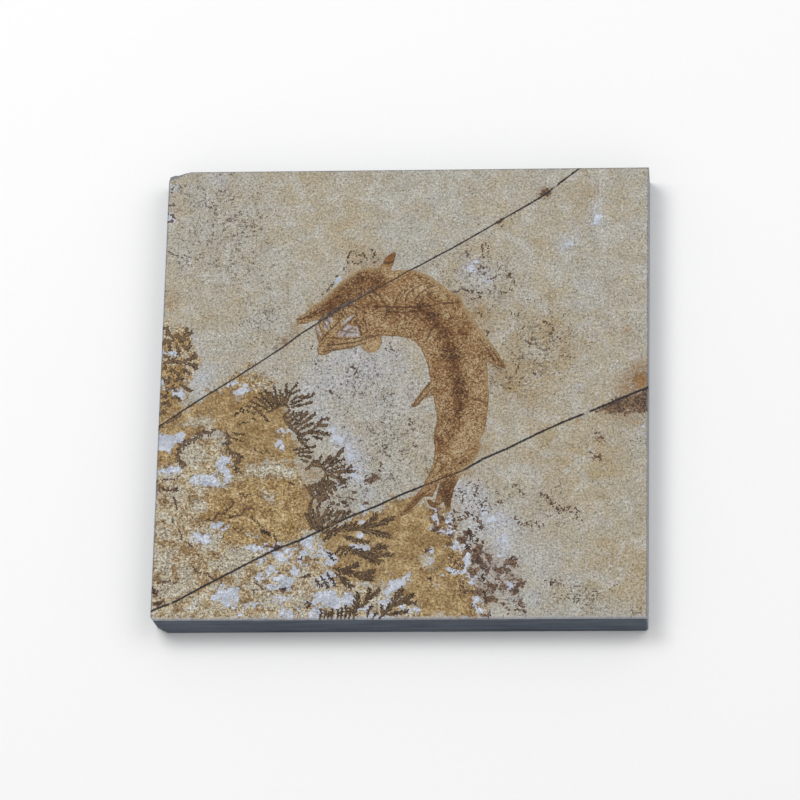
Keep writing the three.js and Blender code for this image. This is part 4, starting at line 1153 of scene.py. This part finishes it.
LOWER_FRONDS = [
    (0.49, 1.87, [(-31, -62.6), (-26, -61), (-20, -60.6), (-15.4, -60.4)]),
    (0.49, 1.52, [(-15.4, -60.6), (-12, -58), (-9.6, -54.6)]),
    (0.49, 1.52, [(-12.6, -60.2), (-8, -58.6), (-3, -56.6)]),
    (0.58, 1.64, [(-16.4, -61), (-10.6, -62.4), (-4.8, -64.2)]),
    (0.49, 1.4, [(-22.6, -64), (-18, -66), (-12.8, -67)]),
    (0.53, 2.34, [(-24.4, -68.6), (-18, -70.4), (-13, -72.8), (-8, -75.6)]),
    (0.49, 1.52, [(-14.6, -71.6), (-10.6, -70.4), (-7.6, -68.4), (-5.4, -69)]),
    (0.49, 1.52, [(-12.4, -73), (-8, -72), (-3.4, -72.6)]),
    (0.44, 2.11, [(-26.4, -78), (-20.6, -79.8), (-15, -81.6), (-11, -82.6)]),
    (0.4, 1.4, [(-23, -78.6), (-19.6, -77.4), (-17, -76.6)]),
    (0.4, 1.29, [(-15, -80.6), (-12, -79.8), (-9.8, -79.4)]),
    (0.4, 1.52, [(-25.6, -80), (-22.4, -83), (-19.2, -86)]),
    (0.35, 1.05, [(-31.4, -81.6), (-29.6, -84), (-28.8, -86)]),
    (0.35, 0.94, [(-33.6, -82.6), (-31.8, -85.6)]), (0.35, 0.82, [(-39.4, -81.8), (-36, -81)]),
    (0.35, 0.7, [(-29, -80), (-27.4, -83)]), (0.31, 0.59, [(-26.8, -82), (-25.8, -85.4)]),
    (0.31, 0.52, [(-28.6, -62.4), (-30.8, -66)]), (0.31, 0.52, [(-26.8, -61.6), (-28.8, -65)]),
    (0.31, 0.52, [(-25, -61.4), (-26.6, -63.8)]), (0.32, 0.39, [(-23.6, -69), (-26, -71.8)]),
    (0.32, 0.39, [(-22, -69.4), (-24, -72.6)]), (0.32, 0.39, [(-20.4, -69.8), (-22, -72.4)]),
    (0.32, 0.39, [(-22.6, -60.8), (-22, -58.6)]), (0.32, 0.39, [(-20.6, -60.6), (-19.8, -58.4)]),
    (0.32, 0.39, [(-18.6, -60.4), (-17.8, -58)]), (0.31, 0.59, [(-28.6, -72.6), (-26, -74.6)]),
    (0.31, 0.59, [(-29.6, -70.8), (-27.4, -72)]), (0.35, 0.59, [(-40.8, -74), (-39.4, -73.6)]),
    (0.31, 0.35, [(-37.6, -93.6), (-36.6, -92.4), (-35.4, -93.6), (-36.4, -94.8)]),
    (0.49, 1.64, [(-17.8, -99.4), (-17, -94), (-16.4, -88.6)]),
    (0.4, 1.29, [(-15.6, -95), (-12, -91.6), (-9, -89), (-7.6, -87)]),
    (0.4, 1.17, [(-13, -93.4), (-12, -89.6), (-11.6, -87)]),
    (0.49, 1.76, [(-7.4, -99.4), (-3.4, -95), (-0.8, -91), (1.6, -87)]),
    (0.4, 1.29, [(-2.4, -94.6), (2, -92), (6, -89.8)]),
    (0.4, 1.05, [(0, -93.6), (3.4, -92.6), (6.8, -93.2)]),
    (0.44, 0.94, [(-4.6, -98), (-0.4, -97.4), (4, -96.8)]), (0.31, 0.7, [(-6.6, -98), (-6.6, -94.4)]),
    (0.35, 0.7, [(-12.4, -99.2), (-12, -96.4), (-10.6, -94.4)]),
    (0.31, 0.59, [(-10, -99.4), (-8.6, -97.4)]),
]
# A comb of short fingers stands on the front edge.
LOWER_FRONDS += [
    (0.35, 0.6, [(x, -99.4), (x + 0.5, -97.4), (x + 0.2, top)])
    for x, top in (
        (-31.4, -96), (-29.6, -96.6), (-28.2, -97), (-26.8, -95.6), (-24.4, -96.2), (-23, -95),
        (-21.4, -94.6), (-19.8, -95.6),
    )
]
fall = random.Random(7)


def fingered(stems, every=1.2, spread=37, finger=0.38):
    """Adds round-ended fingers along both sides of each stem, longest at its middle, pointing on."""
    grown = []
    for width, reach, points in stems:
        grown.append((width, width * 0.9, points))
        lengths = [math.dist(a, b) for a, b in zip(points[:-1], points[1:])]
        gone = every * fall.uniform(0.3, 0.7)
        while gone < sum(lengths):
            place, rest = 0, gone
            while rest > lengths[place]:
                rest -= lengths[place]
                place += 1
            (ax, ay), (bx, by) = points[place], points[place + 1]
            turn = math.atan2(by - ay, bx - ax)
            size = reach * (0.6 + 0.4 * math.sin(math.pi * gone / sum(lengths)))
            for way in (-1, 1):
                x, y = ax + math.cos(turn) * rest, ay + math.sin(turn) * rest
                heading = turn + way * math.radians(spread + fall.uniform(-8, 8))
                bend = heading - way * 0.3
                out = width + size * fall.uniform(0.6, 1.15)
                elbow = (x + 0.6 * out * math.cos(heading), y + 0.6 * out * math.sin(heading))
                tip = (elbow[0] + 0.4 * out * math.cos(bend), elbow[1] + 0.4 * out * math.sin(bend))
                thick = min(finger, width) * fall.uniform(0.85, 1.15)
                grown.append((thick * 0.8, thick, [(x, y), elbow, tip]))
                rest = min(rest + every * 0.35, lengths[place])
            gone += every * fall.uniform(0.85, 1.2)
    return grown


CRUST_NOISES = {"grain": (1.2, 4, 0.8, 0), "wide": (5, 3, 0.6, 0)}
MANGANESE = [(0.05, "#241812"), (0.35, "#3f2d1d"), (0.7, "#5e4a35"), (1.0, "#735d45")]
RUST = [(0.1, "#33231f"), (0.4, "#4f362b"), (0.7, "#6e5040"), (1.0, "#8c705a")]


def crust_material():
    """Manganese and iron oxides: a dull crust, black-brown along its rims and browner inside."""
    name = "manganese and iron oxide crust"
    material, put, shader, field, noise_of = new_material(name, ("depth", "rust"), CRUST_NOISES)
    grain, wide = noise_of["grain"], noise_of["wide"]
    level = put("Math", field["depth"], 2.4, -1.0, operation="MULTIPLY_ADD")
    level = put("Math", grain[0], 1.5, level, operation="MULTIPLY_ADD")
    level = put("Math", wide[0], 0.6, level, operation="MULTIPLY_ADD")
    blacker = put("Math", field["rust"], 0, operation="MINIMUM")
    level = put("Math", level, blacker, operation="ADD")
    dark, rusty = put("ValToRGB", level, stops=MANGANESE), put("ValToRGB", level, stops=RUST)
    colour = put("Mix", field["rust"], dark, rusty, data_type="RGBA")
    bump = put("Bump", 0.5, 0.1 * MM, None, grain[0])
    finish_material(material.node_tree, shader, colour, 0.7, 0.3, bump)
    return material


crust_look = crust_material()
CRUST_SKIRT = 0.4
EDGE_GAP = 0.35  # crusts stop this short of the sawn edges


def crust(name, low, high, branches, rust=0.0, ragged=0.3, cell=0.2):
    """A piece of crust made of strokes, in a box on the face."""

    def depth_at(xy):
        depth = depth_in_strokes(xy, branches)
        near = np.abs(depth) < 1
        depth[near] += ragged * rough(xy[near], 0.85, 2.5)
        return np.minimum(depth, HALF - EDGE_GAP - np.abs(xy).max(1))

    def rise_at(xy, depth):
        return np.interp(depth, [-0.4, 0, 0.4, 1.2], [-0.14, 0, 0.08, 0.11])

    def fields_at(xy, depth):
        return {"depth": depth, "rust": np.full(len(xy), rust)}

    piece = film(name, low, high, cell, depth_at, rise_at, fields_at, crust_look, skirt=CRUST_SKIRT)
    return piece


crust("left_edge_dendrites", (-99.9, -18), (-83, 31), fingered(LEFT_EDGE, 1.3, 42))
crust("upper_dendrites", (-70.5, -64), (-16.5, 5.5), fingered(UPPER_FRONDS), -0.13, 0.38)
crust("lower_dendrites", (-42.5, -99.9), (9, -52), fingered(LOWER_FRONDS, 1.3, 44, 0.36), -0.12, 0.22)

# Tide lines: wavering ridges of oxide where a stain stood still, lobed on their outer side.
TIDE_LINES = [
    (
        0.45,
        [
            (-76.6, -17), (-79, -18.6), (-81.4, -18), (-84, -20), (-86, -21.6), (-88.4, -22), (-91, -25),
            (-91.4, -28), (-90.6, -31), (-89, -33),
        ],
    ),
    (
        0.35,
        [
            (-72, -17.6), (-71, -21), (-71.6, -23.4), (-70, -27.2), (-67.4, -27.4), (-66.2, -30),
            (-68, -33), (-66.6, -35.4),
        ],
    ),
    (0.19, [(-61.6, -27), (-60, -26), (-57, -27.6), (-55, -26.4), (-53, -28.6)]),
    (0.21, [(-79.4, -57), (-76, -56.6), (-74, -54), (-71, -53.6), (-70.4, -51.4)]),
    (0.21, [(-70, -54), (-69, -56), (-67, -55), (-64.6, -54.4), (-63.4, -52), (-61, -51.6), (-59.4, -52)]),
    (0.21, [(-60.6, -54.6), (-59.6, -57), (-57.4, -58), (-56, -60)]),
    (0.26, [(-56.4, -60.6), (-55, -62.4), (-52.6, -63.4)]), (0.19, [(-51, -63), (-50, -66), (-50.6, -69)]),
    (0.19, [(-54.6, -68.4), (-52.4, -68), (-49.6, -69.6)]), (0.19, [(-66, -45), (-63, -46.6), (-61, -45)]),
    (0.19, [(-69.4, -47), (-67.6, -49.6), (-69, -51.4)]),
    (0.26, [(-92.6, -46.4), (-91.6, -49), (-91.2, -52)]), (0.21, [(-93, -56), (-92, -57.6)]),
    (0.26, [(-89.8, -61), (-89, -63), (-88.6, -65)]), (0.21, [(-86.6, -66), (-84, -68.4)]),
    (0.26, [(-83.6, -76.4), (-82, -79), (-80.6, -80)]), (0.26, [(-79, -80), (-77, -80.6), (-75.4, -82.6)]),
    (0.21, [(-58.6, -84), (-56, -85), (-54.6, -87)]), (0.21, [(-59.6, -87), (-58, -88)]),
    (0.19, [(-68, -60), (-66, -62), (-63.4, -61)]), (0.21, [(-46, -40.4), (-43.4, -41.6)]),
    (0.21, [(-100, -40), (-97, -38.6), (-94, -39), (-90, -37.6)]),
    (0.26, [(-97.6, -42.6), (-94, -43.6), (-91, -43.4)]), (0.26, [(-98, -84), (-95, -83.4), (-92.6, -83)]),
    (0.26, [(-99.4, -88), (-98, -87), (-97.4, -89.6)]), (0.26, [(-99, -93.6), (-97, -93), (-95, -92)]),
]


def wavering(lines, reach, step=0.9, sway=0.45):
    """Bends each line into small waves, as stems with short fingers."""
    bent = []
    for width, points in lines:
        walked = [points[0]]
        for a, b in zip(points[:-1], points[1:]):
            count = max(1, round(math.dist(a, b) / step))
            for i in range(1, count + 1):
                x, y = a[0] + (b[0] - a[0]) * i / count, a[1] + (b[1] - a[1]) * i / count
                walked.append((x + fall.uniform(-sway, sway), y + fall.uniform(-sway, sway)))
        bent.append((width, reach, walked))
    return bent


def beads(lines, step=0.75, spread=0.55):
    """Scatters small beads along each line."""
    scattered = []
    for width, points in lines:
        for a, b in zip(points[:-1], points[1:]):
            count = max(1, round(math.dist(a, b) / step))
            for i in range(count):
                share = (i + fall.random()) / count
                x = a[0] + (b[0] - a[0]) * share + fall.uniform(-spread, spread)
                y = a[1] + (b[1] - a[1]) * share + fall.uniform(-spread, spread)
                heading, size = fall.uniform(0, math.tau), width * fall.uniform(0.55, 1.25)
                reach = fall.uniform(0.1, 0.7)
                tip = (x + reach * math.cos(heading), y + reach * math.sin(heading))
                scattered.append((size, size * 0.8, [(x, y), tip]))
    return scattered


crust("thick_tide_line", (-94, -37), (-64, -15), fingered(wavering(TIDE_LINES[:2], 1.6), 1.3, 50), 0.15)
crust(
    "tide_lines", (-99.9, -95), (-40, -25), fingered(wavering(TIDE_LINES[2:], 0.35), 1.0, 60, 0.2), 0.7, 0.2
)

# Black sprigs by the tail and on the left: the purest manganese.
SPRIGS = [
    (0.4, 1.2, [(27.6, -61), (28.4, -63.4), (28.6, -66.4)]), (0.35, 1.0, [(26.4, -62.6), (29.6, -64.6)]),
    (0.4, 0.9, [(27, -68), (27.8, -70.6)]), (0.35, 0.7, [(30.4, -66.6), (31.8, -66.2)]),
    (0.35, 0.7, [(33.4, -81), (34.4, -83.4)]), (0.35, 0.7, [(34.2, -88), (35, -90.6)]),
    (0.3, 0.5, [(33.2, -78.4), (34.4, -78.8)]), (0.3, 0.5, [(10.4, -70), (11, -71.4)]),
    (0.3, 0.4, [(11.6, -82.6), (12.8, -82.8)]), (0.35, 0.6, [(-99.6, -86), (-98.4, -88.6)]),
    (0.3, 0.5, [(-97.8, -93), (-95.4, -92.2)]), (0.3, 0.5, [(-47.6, -86.8), (-45.8, -87)]),
    (0.35, 0.6, [(-56.4, -61.4), (-53, -63)]),
]
crust("black_sprigs", (-99.9, -95), (37, -59), fingered(SPRIGS, 0.9, 60, 0.24), -0.4)

# Lace: strings and rings of fine rusty beads. Each string is (half width of a bead, points).
LACE = [
    (0.3, [(79, -19), (81, -21.6), (80, -24)]), (0.3, [(76.6, -29), (79.6, -31), (82, -29)]),
    (0.28, [(22, -46), (24, -44), (26, -47), (24, -49)]),
    (0.28, [(28, -41), (30, -43), (31, -46), (29, -48)]), (0.28, [(34, -48), (33, -51), (35, -54)]),
    (0.28, [(26, -52), (28, -54), (27, -56)]),
    (0.35, [(27, -56), (30, -56.6), (32.6, -58), (33, -61), (31, -63)]),
    (0.4, [(12.6, -57), (14, -60), (16, -62.4)]),
    (0.35, [(20.4, -72), (22, -75), (21, -78.6), (23, -81.4)]),
    (0.35, [(25, -84), (26.6, -87), (25.4, -90)]), (0.4, [(20, -60), (22, -58), (24, -57), (27, -56)]),
    (0.45, [(20, -63.6), (19.6, -66.4), (20.6, -69.6)]), (0.5, [(24.4, -66.8), (26, -65.4)]),
    (0.5, [(31, -68.4), (33, -67.4)]), (0.5, [(30, -72), (33, -74), (36, -73), (36, -76)]),
    (0.7, [(29, -80.6), (31.4, -79.6)]), (0.5, [(38, -78.4), (41, -80), (44, -78.6)]),
    (0.6, [(43.4, -75), (45, -77.4), (47.4, -76.4)]),
    (0.4, [(44, -82), (47, -83.6), (50, -85), (49.6, -86.6)]),
    (0.5, [(36, -85), (39, -87), (42, -86), (44, -89)]), (0.6, [(30, -87.4), (33, -89.6)]),
    (0.4, [(48, -92), (50, -94), (48.6, -96)]), (0.5, [(35.6, -98), (37, -97)]),
    (0.5, [(37, -90), (40, -92.6)]), (0.4, [(45, -97), (47, -96.4)]),
    (0.4, [(26, -72), (28, -70.6), (27, -68)]), (0.4, [(33.6, -77), (35.4, -79), (34.6, -82)]),
    (0.4, [(39, -82.6), (41.6, -84)]), (0.4, [(25.4, -62), (28, -63.6), (30, -66)]),
    (0.4, [(24, -78), (25.6, -76)]), (0.4, [(28.6, -94), (30.6, -95.6)]), (0.4, [(42, -93), (44, -94.6)]),
    (0.3, [(22.6, -74), (24, -72.6)]), (0.3, [(46, -88), (48, -89)]), (0.4, [(33, -84), (34.6, -86)]),
    (0.25, [(45, -42.6), (47.6, -44), (50, -47)]), (0.3, [(46, -57), (50, -59), (54, -59.4), (58, -58.6)]),
    (0.3, [(57, -46), (59.4, -48), (61, -50), (64, -52.6), (68, -52.4), (71.4, -54.4), (72.4, -58)]),
    (0.25, [(62, -51), (64.6, -55.6)]), (0.25, [(40, -48), (42, -50)]),
    (0.25, [(60, -85), (62.6, -84), (64, -86)]), (0.25, [(66, -91), (70, -91.6), (74, -93)]),
    (0.25, [(78, -88), (79.6, -91)]), (0.3, [(11, -70.6), (12, -69.6)]),
    (0.3, [(12.4, -83.4), (13, -82.4)]), (0.3, [(8, -79), (9.4, -78)]),
    (0.3, [(15, -53), (16.4, -55.4), (17, -58)]), (0.3, [(21.6, -55), (22.4, -52.6)]),
    (0.4, [(12.4, -52.4), (13.2, -54.4)]),
]
SKULL_LACE = [
    (0.35, [(-24.4, 57), (-24, 60), (-23, 62.6), (-20.6, 63.4)]),
    (0.35, [(-18.6, 62), (-17, 60), (-16.4, 58.6)]),
    (0.35, [(-14.6, 59), (-13, 60.6), (-13, 62.4), (-15, 63.6)]), (0.35, [(-22, 58), (-20, 57), (-18, 58)]),
    (0.3, [(-20.6, 60.4), (-18.6, 60.6)]), (0.3, [(-13.4, 57.4), (-12, 58.6)]),
    (0.3, [(-26, 55.4), (-24.4, 55)]), (0.35, [(-32.6, 44.6), (-31, 47), (-29.6, 48.6)]),
    (0.3, [(-29, 51), (-27.6, 52)]), (0.3, [(-34.6, 42.6), (-33.6, 43.6)]),
    (0.3, [(16, 45), (18, 44), (20, 43.4), (22, 44.6), (24, 45), (26, 44.4), (28, 44), (31, 43), (31, 41)]),
    (0.3, [(26, 51.4), (28, 52.6), (29, 54), (31, 54.6), (33, 55)]),
    (0.3, [(31, 66), (31.6, 62), (32.2, 60), (31, 58.4)]),
    (0.3, [(39, 44), (41, 43), (42.6, 44.4), (44, 45)]), (0.4, [(42.6, 51.4), (43.4, 50.4)]),
    (0.3, [(44, 49), (45.4, 46)]), (0.3, [(33, 60), (34, 63), (33, 66)]), (0.3, [(36, 47), (37.6, 45.6)]),
    (0.3, [(34, 50), (36, 49), (37, 50.6)]), (0.35, [(29, 35), (31, 34), (31.4, 32)]),
    (0.35, [(33, 27), (34.6, 25.6), (34, 24)]), (0.3, [(26, 39.6), (28.6, 40.6)]),
    (0.3, [(44, 34), (46, 33), (47, 34.4)]), (0.4, [(57, 30), (60, 29), (61, 26), (59, 24.4)]),
    (0.3, [(50, 22), (52, 20), (51, 18)]), (0.3, [(45, 12), (47, 10), (46, 7)]), (0.3, [(52, 8), (54, 7)]),
    (0.3, [(40, 2), (42, 0), (44, 1)]), (0.3, [(62, 24), (63.6, 22)]), (0.3, [(48, 27), (49.6, 28.6)]),
    (0.3, [(34.6, 69), (36, 71)]), (0.3, [(38.6, 72), (39.4, 74)]),
]
CURL_LACE = [
    (0.3, [(-8, 19.4), (-6, 18), (-3.6, 17.6), (-2, 18.6)]), (0.3, [(-6.6, 20.6), (-5, 20)]),
    (0.3, [(-23, 8.6), (-21, 10), (-19, 9), (-20, 7)]), (0.35, [(-31, -1), (-29.6, -0.4), (-29, -1.4)]),
    (0.3, [(-13, 5), (-12, 3)]), (0.3, [(3, -12), (4, -14), (3, -16)]),
    (0.3, [(-8, -22), (-6.6, -24), (-7, -27)]), (0.3, [(-4, -20), (-2, -21)]),
    (0.3, [(-24, -16), (-23, -17)]), (0.35, [(-7.6, -32), (-8.6, -34.4), (-9.6, -36)]),
    (0.3, [(-1, -26), (0.6, -28)]), (0.3, [(-37, 13), (-36, 11)]), (0.3, [(-13.6, -37), (-14.6, -39)]),
    (0.3, [(5, -24), (6, -26)]), (0.3, [(-38.6, 20.6), (-37.6, 19)]),
]
crust("rust_lace", (6, -99.9), (85, -17), beads(LACE, 0.36, 1.3), 0.75)
crust("skull_lace", (-37, 0), (66, 75), beads(SKULL_LACE, 0.6, 0.45), 0.45, 0.12)
EDGE_LACE = [
    (0.4, [(-99.4, 84.7), (-97.2, 84.5)]),
    (0.4, [(-99.4, 81), (-98, 80.2), (-97, 78.8), (-98, 77.4), (-99.4, 77)]),
    (0.3, [(-99.2, 64), (-97.6, 62.4), (-95, 61.4), (-93, 60.4)]), (0.3, [(-98.6, 90), (-98, 93)]),
]
crust("edge_lace", (-99.9, 58), (-90, 96), beads(EDGE_LACE, 0.5, 0.3), 0.5, 0.12)
crust("curl_lace", (-40, -42), (8, 22.5), beads(CURL_LACE, 0.6, 0.8), 0.6, 0.1)

# ---------------------------------------------------------------------------------------------------
# The room: a plain floor of matt white paper, soft studio light from two large lamps above and from all
# round, and a camera with a long lens that looks down on the slab. None of it belongs to the object.

TARGET = Vector((-1.226, -4.381, THICKNESS)) * MM
AZIMUTH, ELEVATION, ROLL = math.radians(10.36), math.radians(66.316), math.radians(-9.939)
DISTANCE = 2.14877
LENS = 236.93
SENSOR = 36
FLOOR_HALF = 3
ROOM_LIGHT = 0.55
# Each lamp: its name, its place and its width in metres, and its power in watts.
LAMPS = (("key", (-0.7, 0.5, 1.6), 0.9, 14), ("fill", (0.9, 0.3, 1.4), 1.0, 5))

floor_shape = bmesh.new()
bmesh.ops.create_grid(floor_shape, x_segments=1, y_segments=1, size=FLOOR_HALF)
floor_material, put, floor_shader, _, floor_noise = new_material(
    "matt white paper", (), {"fibre": (2, 3, 0.6, 0)},
)
paper = put("Mix", floor_noise["fibre"][0], "#f5f5f5", "#f8f8f8", data_type="RGBA")
paper_bump = put("Bump", 0.05, 0.1 * MM, None, floor_noise["fibre"][0])
finish_material(floor_material.node_tree, floor_shader, paper, 0.9, 0.2, paper_bump)
floor = finished("floor", floor_shape, {}, floor_material)

world = bpy.data.worlds.new("studio")
bpy.context.scene.world = world
world.use_nodes = True
world.node_tree.nodes["Background"].inputs["Color"].default_value = (1, 1, 1, 1)
world.node_tree.nodes["Background"].inputs["Strength"].default_value = ROOM_LIGHT

for name, spot, size, power in LAMPS:
    light = bpy.data.lights.new(name, "AREA")
    light.energy = power
    light.size = size
    lamp = bpy.data.objects.new(name, light)
    lamp.location = spot
    lamp.rotation_mode = "QUATERNION"
    lamp.rotation_quaternion = (-Vector(spot)).to_track_quat("-Z", "Y")
    bpy.context.scene.collection.objects.link(lamp)

back = Vector(
    (math.sin(AZIMUTH) * math.cos(ELEVATION), -math.cos(AZIMUTH) * math.cos(ELEVATION), math.sin(ELEVATION))
)
lens = bpy.data.cameras.new("camera")
lens.sensor_width = SENSOR
lens.lens = LENS
lens.clip_start = 0.1
camera = bpy.data.objects.new("camera", lens)
camera.rotation_mode = "QUATERNION"
camera.location = TARGET + back * DISTANCE
level = (-back).to_track_quat("-Z", "Y")
camera.rotation_quaternion = level @ Matrix.Rotation(ROLL, 3, "Z").to_quaternion()
bpy.context.scene.collection.objects.link(camera)
bpy.context.scene.camera = camera
bpy.context.scene.view_settings.view_transform = "Standard"
